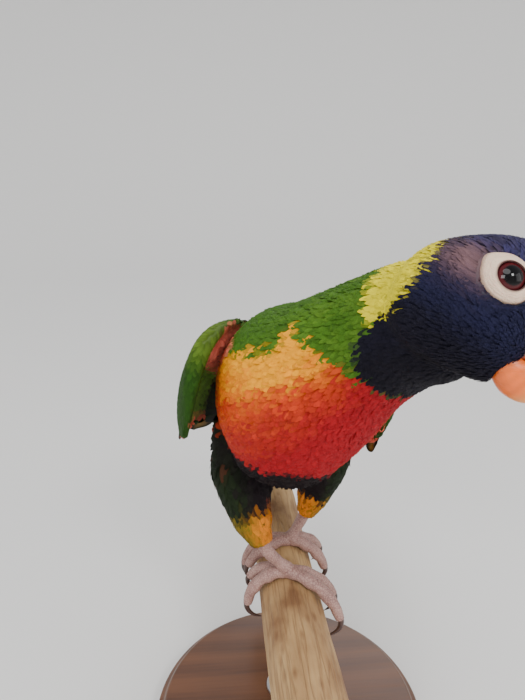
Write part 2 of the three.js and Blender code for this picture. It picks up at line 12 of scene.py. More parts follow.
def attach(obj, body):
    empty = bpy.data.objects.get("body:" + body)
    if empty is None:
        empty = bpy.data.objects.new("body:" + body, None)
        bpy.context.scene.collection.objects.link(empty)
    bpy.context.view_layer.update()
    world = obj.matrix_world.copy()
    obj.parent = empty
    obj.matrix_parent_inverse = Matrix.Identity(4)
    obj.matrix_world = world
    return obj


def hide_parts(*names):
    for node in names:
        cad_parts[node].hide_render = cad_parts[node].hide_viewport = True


# A rainbow lorikeet on a branch, life size. Sizes are worked out in millimetres and turned
# into metres where a mesh is made. The bird faces -Y and its left side is +X.
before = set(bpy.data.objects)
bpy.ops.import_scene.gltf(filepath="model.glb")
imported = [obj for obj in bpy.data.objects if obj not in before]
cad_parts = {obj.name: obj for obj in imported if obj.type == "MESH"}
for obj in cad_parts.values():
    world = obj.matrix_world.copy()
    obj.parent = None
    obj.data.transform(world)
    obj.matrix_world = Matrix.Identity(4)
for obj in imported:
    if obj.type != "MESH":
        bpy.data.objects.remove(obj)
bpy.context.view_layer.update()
mm = 0.001
print("frame loaded")


def smooth(low, high, value):
    t = np.clip((np.asarray(value, float) - low) / (high - low), 0, 1)
    return t * t * (3 - 2 * t)


def unit(vectors):
    return vectors / np.maximum(np.linalg.norm(vectors, axis=-1, keepdims=True), 1e-9)


def dot(a, b):
    return (a * b).sum(-1)


def gap(points, place):
    return np.linalg.norm(points - np.array(place), axis=1)


def circle(count):
    return np.arange(count) / count * 2 * np.pi


def turned(vector, axis, degrees):
    return np.array(Matrix.Rotation(math.radians(degrees), 3, Vector(axis)) @ Vector(vector))


def along(points, t):
    # a smooth line through points, at places from 0 to 1
    pts = np.asarray(points, float)
    pts = np.vstack([2 * pts[0] - pts[1], pts, 2 * pts[-1] - pts[-2]])
    x = np.clip(np.asarray(t, float), 0, 1) * (len(pts) - 3)
    i = np.minimum(x.astype(int), len(pts) - 4)
    w = (x - i)[..., None]
    a, b, c, d = pts[i], pts[i + 1], pts[i + 2], pts[i + 3]
    return b + 0.5 * w * ((c - a) + w * ((2 * a - 5 * b + 4 * c - d) + w * (3 * (b - c) + d - a)))


def palette(**colours):
    # screen colours of 0 to 255 as the shader's light
    made = {}
    for name, colour in colours.items():
        c = np.array(colour, float) / 255
        made[name] = np.where(c < 0.04045, c / 12.92, ((c + 0.055) / 1.055) ** 2.4)
    return made


def layered(base, *layers):
    # a colour with others laid over it, each as (colour, amount)
    for colour, amount in layers:
        base = base * (1 - amount[:, None]) + colour * amount[:, None]
    return base


def fleck(points, scale, seed=0):
    # a smooth draw between -1 and 1 that varies over the bird
    offset = Vector((seed * 7.3, seed * 3.1, seed * 5.7))
    return np.array([noise.noise(Vector(p) / scale + offset) for p in points])


def treeOf(points, labels):
    tree = KDTree(len(points))
    for point, label in zip(points, labels):
        tree.insert(point, int(label))
    tree.balance()
    return tree


def nearestIn(tree, points):
    return np.array([tree.find(p)[1] for p in points.tolist()])


# Where a place is on the body: the stations run from the tail's root to the head, and the
# angle runs from the back to the belly, positive on the bird's right
body = {
    "centres": [
        (3.6, 74, 122), (3.3, 66, 125), (3, 52, 130), (2, 34, 138), (0.5, 16, 146.5),
        (-0.5, -4, 155), (0.5, -21, 163.5), (4.5, -36, 171.5), (10.5, -48, 180),
        (17, -58.5, 187.5), (21.5, -68.5, 193), (25, -77, 195.5), (28.5, -84, 197),
        (30.5, -88, 197.5),
    ],
    "reach": [
        (2, 1.5, 1.5), (6.5, 4.5, 5), (12.5, 10, 11.5), (20, 19, 20), (25.5, 27, 28),
        (28.5, 31, 33), (28.5, 29, 31), (25.5, 24, 25.5), (21, 20.5, 20), (17.8, 18, 17),
        (15.8, 16, 16), (14, 14, 15), (9, 9, 10), (3.5, 3.5, 4),
    ],
    "lean": 10,
}
spineAt = np.linspace(0, 1, 521)
spine, spineReach = along(body["centres"], spineAt), along(body["reach"], spineAt)
spineWay = unit(np.gradient(spine, axis=0))
spineSide = unit(np.stack([spineWay[:, 1], -spineWay[:, 0], np.zeros(len(spine))], 1))
spineSide = np.array([turned(s, w, -body["lean"]) for s, w in zip(spineSide, spineWay)])
spineUp = np.cross(spineSide, spineWay)


def bodyRing(i, turns):
    tall = np.where(np.cos(turns) > 0, spineReach[i, 1], spineReach[i, 2])
    return (spine[i] + np.outer(np.sin(turns) * spineReach[i, 0], spineSide[i])
            + np.outer(np.cos(turns) * tall, spineUp[i]))


bodySteps, bodyTurns = np.arange(0, len(spine), 3), np.radians(np.arange(0, 360, 5))
bodyTree = treeOf(np.concatenate([bodyRing(i, bodyTurns) for i in bodySteps]),
                  np.repeat(bodySteps, len(bodyTurns)))

# The head's middle, and its ways forwards, up and to the right
head = {"rightEye": (27.8, -97.9, 206.8), "eyeHalf": 12.5, "turn": 57, "nod": 33, "tilt": 22}


def headAxes():
    forward = turned((0, -1, 0), (0, 0, 1), head["turn"])
    right = unit(np.cross(forward, (0, 0, 1)))
    forward = turned(forward, right, -head["nod"])
    right = turned(right, forward, -head["tilt"])
    middle = np.array(head["rightEye"]) - head["eyeHalf"] * right
    return middle, np.array([forward, np.cross(right, forward), right])


headMiddle, headWays = headAxes()


def inHead(points):
    return (points - headMiddle) @ headWays.T


def fromHead(points):
    return np.asarray(points, float) @ headWays + headMiddle


legs = {
    "right": {
        "hand": -1,
        "axis": [(-16, 6, 140), (-19.3, 3, 121), (-16.3, -2, 104), (-11.6, -5.2, 92.5)],
        "radii": [15, 13, 8.7, 4.6],
        "ankle": (-9.5, -5.6, 89),
        "joint": (-5, -4.4),
        "toes": {"2": (72, -7.5), "3": (84, -17.5), "1": (-68, 4.5), "4": (-92, -2.5)},
    },
    "left": {
        "hand": 1,
        "axis": [(12, 12, 140), (15, 12, 121), (12.5, 15, 104), (9.2, 18, 92)],
        "radii": [15, 12, 7.6, 4.4],
        "ankle": (7.5, 18.4, 88.5),
        "joint": (9, 18),
        "toes": {"2": (-70, 13), "3": (-88, 22.5), "1": (70, 24.5), "4": (84, 15)},
    },
}
legSteps = np.linspace(0, 1, 61)
for leg in legs.values():
    leg["line"] = along(leg["axis"], legSteps)
    leg["ways"] = unit(np.gradient(leg["line"], axis=0))
    leg["thick"] = np.interp(legSteps, np.linspace(0, 1, 4), leg["radii"])


def onLeg(points, leg):
    # how far down the leg, which way it runs there, and how surely the place is on it
    away = ((points[:, None] - leg["line"][None]) ** 2).sum(-1)
    i = away.argmin(1)
    ratio = np.sqrt(away.min(1)) / leg["thick"][i]
    sure = (1 - smooth(1.08, 1.4, ratio)) * (1 - smooth(122, 136, points[:, 2]))
    return leg, i / 60, leg["ways"][i], sure


class Spots:
    # where points are: along and round the body, from the head's middle, and on the legs
    def __init__(self, points):
        i = nearestIn(bodyTree, points)
        away = points - spine[i]
        self.station = spineAt[i] * (len(body["centres"]) - 1)
        self.angle = np.degrees(np.arctan2(dot(away, spineSide[i]), dot(away, spineUp[i])))
        self.back = -spineWay[i]
        self.local = inHead(points)
        self.legs = [onLeg(points, leg) for leg in legs.values()]


# Shader maths: a socket that sums with numbers and other sockets
class Shade:
    def __init__(self, finish, socket):
        self.finish, self.socket = finish, socket

    def math(self, operation, *others):
        return self.finish.math(operation, self, *others)

    def __rsub__(self, other):
        return self.finish.math("SUBTRACT", other, self)

    __add__ = __radd__ = partialmethod(math, "ADD")
    __mul__ = __rmul__ = partialmethod(math, "MULTIPLY")
    __sub__ = partialmethod(math, "SUBTRACT")
    __pow__ = partialmethod(math, "POWER")


class Finish:
    def __init__(self, name):
        self.material = bpy.data.materials.new(name)
        self.material.use_nodes = True
        self.tree = self.material.node_tree
        self.tree.nodes.clear()
        self.shader = self.tree.nodes.new("ShaderNodeBsdfPrincipled")
        output = self.tree.nodes.new("ShaderNodeOutputMaterial")
        self.tree.links.new(self.shader.outputs[0], output.inputs["Surface"])

    def set(self, socket, value):
        if isinstance(value, Shade):
            self.tree.links.new(value.socket, socket)
            return
        if hasattr(socket.default_value, "__len__"):
            value = list(value) + [1.0] * (len(socket.default_value) - len(value))
        socket.default_value = value

    def node(self, kind, settings=None, sockets=None, out=0):
        made = self.tree.nodes.new(kind)
        for key, value in (settings or {}).items():
            if key == "stops":
                ramp = made.color_ramp.elements
                while len(ramp) < len(value):
                    ramp.new(0.5)
                for stop, (place, colour) in zip(ramp, value):
                    stop.position, stop.color = place, (*colour, 1)
            else:
                setattr(made, key, value)
        for key, value in (sockets or {}).items():
            self.set(made.inputs[key], value)
        return Shade(self, made.outputs[out])

    def math(self, operation, *values):
        return self.node("ShaderNodeMath", {"operation": operation}, dict(enumerate(values)))

    def mix(self, factor, a, b, blend="MIX"):
        settings = {"data_type": "RGBA", "blend_type": blend}
        return self.node("ShaderNodeMix", settings, {0: factor, 6: a, 7: b}, 2)

    def ramp(self, value, *stops):
        return self.node("ShaderNodeValToRGB", {"stops": stops}, {0: value})

    def part(self, axis, vector=None):
        place = vector or self.node("ShaderNodeTexCoord", out="Object")
        return self.node("ShaderNodeSeparateXYZ", None, {0: place}, axis)

    def texture(self, kind, scale, settings=None, vector=None, stretch=None, **sockets):
        place = vector or self.node("ShaderNodeTexCoord", out="Object")
        if stretch:
            place = self.node("ShaderNodeMapping", None, {"Vector": place, "Scale": stretch})
        return self.node(kind, settings, {"Vector": place, "Scale": scale, **sockets})

    def noise(self, scale, detail=3, **more):
        return self.texture("ShaderNodeTexNoise", scale, Detail=detail, **more)

    def cells(self, scale, feature="DISTANCE_TO_EDGE", **more):
        return self.texture("ShaderNodeTexVoronoi", scale, {"feature": feature}, **more)

    def grey(self, tone):
        return self.node("ShaderNodeCombineColor", None, {0: tone, 1: tone, 2: tone})

    def plume(self, tone):
        # the mesh's own colours, made lighter and darker by tone
        colour = self.node("ShaderNodeVertexColor", {"layer_name": "plume"})
        return self.mix(1.0, colour, self.grey(tone), "MULTIPLY")

    def surface(self, bump=None, **values):
        # bump is a height, its strength and its distance in metres
        if bump:
            sockets = dict(zip(("Height", "Strength", "Distance"), bump))
            values["Normal"] = self.node("ShaderNodeBump", None, sockets)
        for name, value in values.items():
            self.set(self.shader.inputs[name.replace("_", " ")], value)
        return self.material


# Colours of the plumage, by where a place is on the bird
plumage = palette(
    green=(68, 108, 28), greenLight=(104, 140, 44), greenDark=(34, 66, 18),
    collar=(238, 222, 26), hood=(30, 31, 58), hoodBlue=(48, 52, 104), crown=(74, 66, 100),
    brow=(132, 100, 102), throat=(20, 18, 28), yellow=(255, 168, 6), orange=(212, 70, 26),
    red=(168, 22, 32), belly=(22, 14, 18), bellyGreen=(26, 40, 16), vent=(176, 162, 50),
    thigh=(212, 122, 28), olive=(96, 104, 26), brown=(120, 50, 34), pink=(240, 128, 100),
)
# The edges between the colours: stations by angle, and the breast's top as angles by station
markings = {
    "collarBack": [(0, 9.9), (91, 9.95), (97, 10.35)],
    "hoodEdge": [(0, 11.75), (60, 11.75), (72, 11.7), (82, 11.4), (90, 11.1), (97, 10.35),
                 (102, 10.05), (111, 9.68), (124, 9.3), (142, 9.06), (180, 9.05)],
    "breastTop": [(4.6, 92), (5.6, 84), (6.4, 78), (7.05, 77), (7.48, 81), (7.8, 84), (7.95, 71),
                  (8.15, 71), (8.28, 88), (8.55, 96), (8.73, 111), (8.88, 124), (9.05, 144)],
    "bellyFront": [(80, 3.6), (105, 4.6), (135, 4.9), (150, 5.5), (165, 5.8), (180, 6.15)],
    "ventFront": [(90, 2.2), (130, 2.6), (180, 3.1)],
}


def edgeAt(name, where):
    return np.interp(where, *np.array(markings[name], float).T)


def hoodAt(local, station, side, fine):
    p = plumage
    fore, tall = local[:, 0], local[:, 1]
    return layered(
        p["hood"],
        (p["hoodBlue"], 0.7 * smooth(-4, 5, tall) * smooth(-0.5, 0.5, fine)),
        (p["crown"], 0.55 * smooth(2, 8, tall)),
        (p["brow"], 0.85 * np.exp(-((fore + 8) / 5.5) ** 2 - ((tall + 1.5) / 4) ** 2)),
        (p["throat"], smooth(-9, -17, tall) * 0.85),
        (p["throat"], 0.8 * smooth(112, 135, side) * (station < 11.5)))


def plumageAt(points):
    spots, p = Spots(points), plumage
    local, station, angle = spots.local, spots.station, spots.angle
    wave, fine = fleck(points, 5.0, 1), fleck(points, 2.2, 2)
    streak = fleck(np.stack([station * 0.9, angle * 0.16, 0 * angle], 1), 1, 6)
    side = np.clip(np.abs(angle) + 3.5 * wave, 0, 180)
    station = station + 0.06 * fine

    # breast, from yellow at its sides to red in the middle, with a pink patch by the wing
    inBreast = (smooth(-2.5, 2.5, side - edgeAt("breastTop", station))
                * (1 - smooth(9.0, 9.1, station)))
    warm = layered(
        p["yellow"],
        (p["orange"], smooth(85, 118, side + 6 * fine + 20 * streak + 6 * (6.8 - station))),
        (p["red"], smooth(108, 156, side + 6 * wave + 14 * streak)),
        (p["red"], 0.7 * smooth(8.3, 8.9, station) * smooth(90, 120, side)))
    inPink = smooth(1.3, 0.8, np.hypot((station - 5.9) / 0.38, (side - 71) / 10))

    # belly, vent and the dark flanks
    inBelly = (smooth(-0.14, 0.14, edgeAt("bellyFront", side) - station)
               * smooth(96, 112, side))
    dark = layered(p["belly"], (p["bellyGreen"], smooth(150, 115, side) * 0.9))
    inVent = (smooth(-0.25, 0.25, edgeAt("ventFront", side) - station + 0.2 * wave)
              * smooth(84, 100, side))
    vent = layered(p["vent"], (p["green"], smooth(-0.1, 0.5, fine)))

    # collar and hood
    near = 1 - smooth(22, 25, gap(local, (-3, -6, 0)))
    onHead = smooth(-15.5, -13.6, local[:, 0] + 0.5 * wave) * (1 - smooth(100, 116, side)) * near
    below = smooth(-0.1, 0.1, station - edgeAt("hoodEdge", side)) * smooth(84, 94, side)
    inHood = np.maximum(np.maximum(onHead, below), smooth(12.3, 12.5, station))
    inCollar = (smooth(-0.1, 0.1, station - edgeAt("collarBack", side))
                * (1 - smooth(93, 99, side)))
    colour = layered(
        p["green"],
        (p["greenLight"], 0.45 * smooth(-0.5, 0.6, wave) * smooth(6.5, 9, station)),
        (p["greenDark"], 0.35 * smooth(0, 0.6, fine)),
        (warm, inBreast), (p["pink"], inPink), (dark, inBelly), (vent, inVent),
        (p["collar"], inCollar), (hoodAt(local, station, side, fine), inHood))

    for leg, down, _, sure in spots.legs:
        aside = points[:, 0] - np.interp(down, legSteps, leg["line"][:, 0])
        outward = smooth(-3, 6, aside * leg["hand"])
        shank = layered(p["thigh"], (p["olive"], outward * 0.8),
                        (p["olive"], 0.6 * smooth(0.0, 0.6, fine)))
        upper = layered(p["belly"], (p["bellyGreen"], outward * 0.8),
                        (p["brown"], 0.5 * smooth(0.42, 0.7, wave)))
        lower = smooth(0.58, 0.7, down + 0.05 * wave)
        colour = layered(colour, (layered(upper, (shank, lower)), sure))
    return colour


# Mesh helpers
def placed(name, data):
    made = bpy.data.objects.new(name, data)
    bpy.context.scene.collection.objects.link(made)
    return made


def meshOf(bm):
    mesh = bpy.data.meshes.new("mesh")
    bmesh.ops.recalc_face_normals(bm, faces=bm.faces)
    bm.to_mesh(mesh)
    bm.free()
    return mesh


def pieceOf(name, mesh, nodes, material):
    mesh.name = name
    piece = placed(name, mesh)
    mesh.materials.clear()
    mesh.materials.append(material)
    if "sharp_edge" not in mesh.attributes:
        mesh.shade_smooth()
    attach(piece, "root")
    if nodes:
        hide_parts(*nodes)
    return piece


def evaluated(mesh, *modifiers):
    # the mesh with modifiers applied
    helper = placed("helper", mesh)
    for kind, settings in modifiers:
        modifier = helper.modifiers.new(kind, kind)
        for key, value in settings.items():
            setattr(modifier, key, value)
    graph = bpy.context.evaluated_depsgraph_get()
    made = bpy.data.meshes.new_from_object(helper.evaluated_get(graph))
    bpy.data.objects.remove(helper)
    return made


def readOf(items, key, width, kind=np.float32):
    values = np.empty(len(items) * width, kind)
    items.foreach_get(key, values)
    return values.reshape(-1, width)


def coordsOf(mesh):
    return readOf(mesh.vertices, "co", 3).astype(float) / mm


def normalsOf(mesh):
    return readOf(mesh.vertices, "normal", 3).astype(float)


def moveTo(mesh, points):
    mesh.vertices.foreach_set("co", (points * mm).astype(np.float32).ravel())
    mesh.update()


def paint(mesh, colours):
    # a colour for each vertex
    layer = mesh.color_attributes.new("plume", "FLOAT_COLOR", "POINT")
    rgba = np.concatenate([colours, np.ones((len(colours), 1))], 1)
    layer.data.foreach_set("color", rgba.astype(np.float32).ravel())


def loft(bm, rings, closeEnds=True):
    # rings of points, all of one length, joined into a tube
    loops = []
    for ring in rings:
        made = bmesh.ops.create_circle(bm, cap_ends=False, segments=len(ring), radius=1)["verts"]
        for vert, point in zip(made, ring):
            vert.co = Vector(point) * mm
        loops.append(list({edge for vert in made for edge in vert.link_edges}))
    for first, second in zip(loops, loops[1:]):
        bmesh.ops.bridge_loops(bm, edges=first + second)
    for loop in (loops[0], loops[-1]) if closeEnds else ():
        bmesh.ops.poke(bm, faces=bmesh.ops.contextual_create(bm, geom=loop)["faces"])


def tubeRings(points, radii, sides, shape=None):
    # rings round a line, kept from twisting; shape(turn, step) may push a ring's points out
    ways = unit(np.gradient(points, axis=0))
    normal = unit(np.cross(ways[0], (0.13, 0.21, 0.97)))
    rings, turns = [], circle(sides)
    for k, (point, way) in enumerate(zip(points, ways)):
        normal = unit(normal - way * dot(normal, way))
        other = np.cross(way, normal)
        out = np.cos(turns)[:, None] * normal + np.sin(turns)[:, None] * other
        more = shape(out, k) if shape else np.ones(sides)
        rings.append(point + out * (radii[k] * more)[:, None])
    return rings


def surfaceOf(mesh):
    # what the coat needs to know of a mesh: its places, ways out and a tree to look them up
    points, normals = coordsOf(mesh), normalsOf(mesh)
    mesh.calc_loop_triangles()
    tris = readOf(mesh.loop_triangles, "vertices", 3, np.int32)
    tree = BVHTree.FromPolygons(points.tolist(), tris.tolist())
    return {"points": points, "normals": normals, "tris": tris, "tree": tree}


def settle(surface, points):
    # the nearest places on a surface and the ways out there
    found = [surface["tree"].find_nearest(p) for p in points.tolist()]
    places = np.array([f[0] for f in found])
    faces = np.array([f[2] for f in found])
    return places, unit(surface["normals"][surface["tris"][faces]].mean(1))


def spread(surface, spacingAt, rng):
    # evenly spaced places on a surface, closer where spacingAt says so
    a, b, c = (surface["points"][surface["tris"][:, i]] for i in range(3))
    area = np.linalg.norm(np.cross(b - a, c - a), axis=1) / 2
    spacing = spacingAt((a + b + c) / 3)
    want = np.where(spacing > 0, area / np.maximum(spacing, 0.1) ** 2, 0)
    picks = rng.choice(len(area), int(want.sum() * 4), p=want / want.sum())
    u, v = np.sqrt(rng.random(len(picks))), rng.random(len(picks))
    points = (a[picks] * (1 - u)[:, None] + b[picks] * (u * (1 - v))[:, None]
              + c[picks] * (u * v)[:, None])
    reach = spacing[picks] * 0.86
    keys = np.floor(points / float(spacing.max())).astype(int).tolist()
    kept, cells = [], {}
    around = [(i, j, k) for i in (-1, 0, 1) for j in (-1, 0, 1) for k in (-1, 0, 1)]
    for index, ((x, y, z), key, r) in enumerate(zip(points.tolist(), keys, reach.tolist())):
        cube = [(key[0] + i, key[1] + j, key[2] + k) for i, j, k in around]
        near = (p for c in cube for p in cells.get(c, ()))
        if all((px - x) ** 2 + (py - y) ** 2 + (pz - z) ** 2 >= r * r for px, py, pz in near):
            cells.setdefault(tuple(key), []).append((x, y, z))
            kept.append(index)
    return points[kept]


def vaneTemplate(columns, rows):
    # a closed leaf: a grid and its underside, which share their rim
    bm = bmesh.new()
    bmesh.ops.create_grid(bm, x_segments=len(columns) - 1, y_segments=len(rows) - 1, size=1)
    low = bmesh.ops.duplicate(bm, geom=bm.verts[:] + bm.edges[:] + bm.faces[:])["geom"]
    bmesh.ops.reverse_faces(bm, faces=[g for g in low if isinstance(g, bmesh.types.BMFace)])
    for vert in [g for g in low if isinstance(g, bmesh.types.BMVert)]:
        if max(abs(vert.co.x), abs(vert.co.y)) < 0.999:
            vert.co.z = -1
    bmesh.ops.remove_doubles(bm, verts=bm.verts, dist=1e-5)
    bm.verts.index_update()
    co = np.array([v.co for v in bm.verts])
    column = np.rint((co[:, 0] + 1) / 2 * (len(columns) - 1)).astype(int)
    row = np.rint((co[:, 1] + 1) / 2 * (len(rows) - 1)).astype(int)
    faces = np.array([[v.index for v in f.verts] for f in bm.faces])
    bm.free()
    return {
        "row": row, "across": np.array(columns)[column], "down": np.array(rows)[row],
        "under": co[:, 2] < -0.5, "rows": np.array(rows), "faces": faces,
    }


def joinVanes(shape, vanes, camber, thick, colours, patch):
    # vanes as one mesh: each has a line of rows with its ways and half widths
    centre, side, out, half = (vanes[key] for key in ("centre", "side", "out", "half"))
    count, row, across = len(centre), shape["row"], shape["across"]
    width = half[:, row]
    drop = camber * across ** 2 * width + thick * shape["under"] * (1 - across ** 2)
    points = (centre[:, row] + side[:, row] * (across * width)[..., None]
              - out[:, row] * drop[..., None])
    faces = (shape["faces"][None] + (np.arange(count) * len(row))[:, None, None]).reshape(-1, 4)
    mesh = bpy.data.meshes.new("vanes")
    mesh.vertices.add(count * len(row))
    mesh.loops.add(faces.size)
    mesh.polygons.add(len(faces))
    mesh.loops.foreach_set("vertex_index", faces.ravel().astype(np.int32))
    mesh.polygons.foreach_set("loop_start", np.arange(0, faces.size, 4, dtype=np.int32))
    moveTo(mesh, points.reshape(-1, 3))
    mesh.update(calc_edges=True)
    # the rims stay crisp, so that a vane looks flat and not puffed up
    rim = (np.abs(across) > 0.999) | (row == 0) | (row == row.max())
    crisp = rim[readOf(mesh.edges, "vertices", 2, np.int32) % len(row)].all(1)
    mesh.attributes.new("sharp_edge", "BOOLEAN", "EDGE").data.foreach_set("value", crisp)
    paint(mesh, colours(shape).reshape(-1, 3))
    vane = np.tile(np.stack([across * 0.5 + 0.5, shape["down"]], 1), (count, 1))
    bake = patch[:, None] + np.stack([across * 0.0015, shape["down"] * 0.003], 1)[None]
    for title, uv in (("vane", vane), ("OFBake", bake.reshape(-1, 2))):
        layer = mesh.uv_layers.new(name=title)
        layer.data.foreach_set("uv", uv[faces.ravel()].astype(np.float32).ravel())
    return mesh


def widths(rows, point):
    # half widths along a vane, from a narrow root to a tip that is rounder as point grows
    root = 0.34 + 0.66 * smooth(0, 0.38, rows)
    tip = np.sqrt(np.maximum(0, 1 - (np.maximum(0, rows - point) / (1 - point)) ** 2))
    return root * np.maximum(tip, 0.07)


bodyVane = vaneTemplate([-1, 0, 1], [0, 0.24, 0.48, 0.68, 0.82, 0.92, 0.975, 1])
longVane = vaneTemplate([-1, -0.55, 0, 0.55, 1], np.linspace(0, 1, 13))
# What a coat does where its zone says nothing else: how far feathers stray, where they narrow,
# how deep their roots lie, and how much their edges and tones vary
anyZone = {"stray": 5, "point": 0.42, "sunk": 0.16, "blur": 0.13, "vary": 0.09}


def coat(name, surface, seed, **more):
    # small feathers over a surface, each laid along it the way the coat lies
    zone, rng = {**anyZone, **more}, np.random.default_rng(seed)
    roots = spread(surface, zone["spacing"], rng)
    count = len(roots)
    length = zone["length"](roots) * rng.uniform(0.82, 1.16, count)
    width = zone["width"](roots) * rng.uniform(0.9, 1.1, count)
    depth = zone["depth"](roots)
    yaw = np.radians(rng.normal(0, zone["stray"], count))
    rows = bodyVane["rows"]
    place, centres, sides, outs = roots, [], [], []
    for k, v in enumerate(rows):
        place, normal = settle(surface, place)
        way = zone["lie"](place)
        way = unit(way - normal * dot(way, normal)[:, None])
        cross = np.cross(normal, way)
        way = way * np.cos(yaw)[:, None] + cross * np.sin(yaw)[:, None]
        lift = depth * (1.22 * v ** 0.85 - zone["sunk"] + 0.12 * rng.uniform(-1, 1, count))
        centres.append(place + normal * lift[:, None])
        sides.append(unit(np.cross(normal, way)))
        outs.append(normal)
        if k + 1 < len(rows):
            place = place + way * (length * (rows[k + 1] - v))[:, None]
    vanes = {key: np.stack(lists, 1) for key, lists in
             (("centre", centres), ("side", sides), ("out", outs))}
    vanes["half"] = 0.5 * width[:, None] * widths(rows, zone["point"])[None]
    seen = (vanes["centre"][:, 3]
            + rng.normal(0, zone["blur"], (count, 3)) * length[:, None])
    base = zone["colour"](seen)
    tone = 1 + zone["vary"] * rng.normal(0, 1, count)

    def colours(shape):
        v, a = shape["down"], np.abs(shape["across"])
        shade = (0.76 + 0.28 * smooth(0.1, 0.75, v)) * (1.03 - 0.06 * a)
        return base[:, None] * (tone[:, None] * shade[None])[..., None]

    print(name, count, "feathers")
    return joinVanes(bodyVane, vanes, 0.14, 0.05, colours, zone["unwrap"](roots))


def featherFinish(name, barbs, gloss, quill):
    # fine barbs to each side of a shaft
    finish = Finish(name)
    uv = finish.node("ShaderNodeUVMap", {"uv_map": "vane"})
    aside = (finish.part("X", uv) - 0.5).math("ABSOLUTE")
    wave = (finish.part("Y", uv) * barbs - aside * barbs * 0.7) * 6.283
    barb = wave.math("SINE") * 0.5 + 0.5
    shaft = aside.math("LESS_THAN", 0.035)
    soft = finish.noise(900, 2)
    return finish.surface(Base_Color=finish.plume(0.8 + barb * 0.2 + soft * 0.18 - shaft * quill),
                          Roughness=gloss + soft * 0.2, Specular_IOR_Level=0.12,
                          bump=(barb * 0.5 + shaft, 0.6, 0.00016))


smallFeathers = featherFinish("smallFeathers", 22, 0.58, 0.1)
longFeathers = featherFinish("longFeathers", 60, 0.52, 0.35)


def skinFinish():
    finish = Finish("featheredSkin")
    soft = finish.noise(700, 4)
    # the plumage's colour at about half strength: painted shade where the skin shows between the
    # feathers
    return finish.surface(Base_Color=finish.plume(0.5 + soft * 0.2), Roughness=0.8,
                          bump=(soft, 0.4, 0.0003))


# Eyes: a ball with its iris, and a bare ring with the lids' rim round it
eyes = {
    "middle": (-1.2, -0.9, 8.9),
    "ahead": 13,
    "raised": 15,
    "radius": 4.35,
    "opening": 2.75,
    "lidTall": 3.58,
    "rimTall": 2.3,
    "ringLong": 5.15,
    "ringTall": 4.6,
    "ringWide": 2.25,
    "curve": 1.7,
    "corner": (3.0, 0.55, 0.32),
    "bead": 0.4,
    "folds": 0.035,
    "cover": 0.6,
    "around": (5.2, 6.1),
    **palette(ring=(236, 206, 180), rim=(84, 52, 48), fold=(168, 124, 106), dark=(14, 6, 8),
              iris=(80, 22, 26), irisRim=(34, 10, 14), pupil=(3, 2, 3), outer=(14, 8, 10)),
}
eyeSides = {"right": 1, "left": -1}


def eyeWays(sign):
    ahead, raised = math.radians(eyes["ahead"]), math.radians(eyes["raised"])
    axis = np.array([math.sin(ahead), math.cos(ahead) * math.sin(raised),
                     sign * math.cos(ahead) * math.cos(raised)])
    front = unit(np.array([1, 0, 0]) - axis * axis[0])
    middle = np.array(eyes["middle"]) * np.array([1, 1, sign])
    return middle, axis, front, np.cross(axis, front) * sign


def ringReach(turn):
    # the ring's outer rim, drawn out a little to a corner behind the eye
    reach = np.hypot(np.cos(turn) * eyes["ringLong"], np.sin(turn) * eyes["ringTall"])
    place, out, wide = eyes["corner"]
    corner = (turn - place + np.pi) % (2 * np.pi) - np.pi
    return reach + out * np.exp(-(corner / wide) ** 2)


def fromEye(points):
    # 1 at the rim of the bare ring round the nearer eye, less inside it
    local = inHead(points)
    gone = np.full(len(points), 9.0)
    for sign in eyeSides.values():
        middle, axis, front, up = eyeWays(sign)
        away = local - middle
        turn = np.arctan2(dot(away, up), dot(away, front))
        reach = np.hypot(dot(away, front), dot(away, up)) / ringReach(turn)
        gone = np.where((dot(away, axis) > -2) & (local[:, 2] * sign > 0), reach, gone)
    return gone


# Skin: the flesh nodes as one closed skin, lying inside them by the coat's depth
skinSizes = {"voxel": 0.8, "swell": 0.35, "smoothing": 14, "body": 1.35, "head": 0.7,
             "thigh": 1.2, "taper": 0.6, "loose": 2.4}
fleshNodes = ("head", "neck", "torso", "thigh_right", "thigh_left")


def coatDepth(points):
    spots, size = Spots(points), skinSizes
    depth = size["body"] + (size["head"] - size["body"]) * smooth(8.5, 12, spots.station)
    depth = depth * (0.5 + 0.5 * smooth(7, 14, gap(spots.local, (11, -6, 0))))
    for _, down, _, sure in spots.legs:
        depth = depth * (1 - sure) + (size["thigh"] - size["taper"] * down) * sure
    return depth


def swollen(name):
    bm = bmesh.new()
    bm.from_mesh(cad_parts[name].data)
    bmesh.ops.remove_doubles(bm, verts=bm.verts, dist=1e-6)
    bmesh.ops.recalc_face_normals(bm, faces=bm.faces)
    bm.normal_update()
    for vert in bm.verts:
        vert.co += vert.normal * skinSizes["swell"] * mm
    return meshOf(bm)


def clearEyes(points):
    # sinks what lies over an eyeball or under its ring
    local, e = inHead(points), eyes
    for sign in eyeSides.values():
        middle, axis, _, _ = eyeWays(sign)
        away = local - middle
        tall = dot(away, axis)
        reach = np.linalg.norm(away - tall[:, None] * axis, axis=1)
        k = np.clip((reach - e["opening"]) / e["ringWide"], 0, 1.2)
        under = e["lidTall"] + (e["rimTall"] - e["lidTall"]) * k ** e["curve"] - e["cover"]
        under = under - 1.2 * (1 - smooth(2.8, 3.4, reach)) + 3 * smooth(*e["around"], reach)
        sunk = np.minimum(tall, under)
        on = (tall > -1) & (reach < e["around"][1])
        local = np.where(on[:, None], local + axis * (sunk - tall)[:, None], local)
    return fromHead(local)


def remeshed(mesh, voxel, smoothing):
    return evaluated(mesh, ("REMESH", {"mode": "VOXEL", "voxel_size": voxel * mm}),
                     ("SMOOTH", {"factor": 0.5, "iterations": smoothing}))


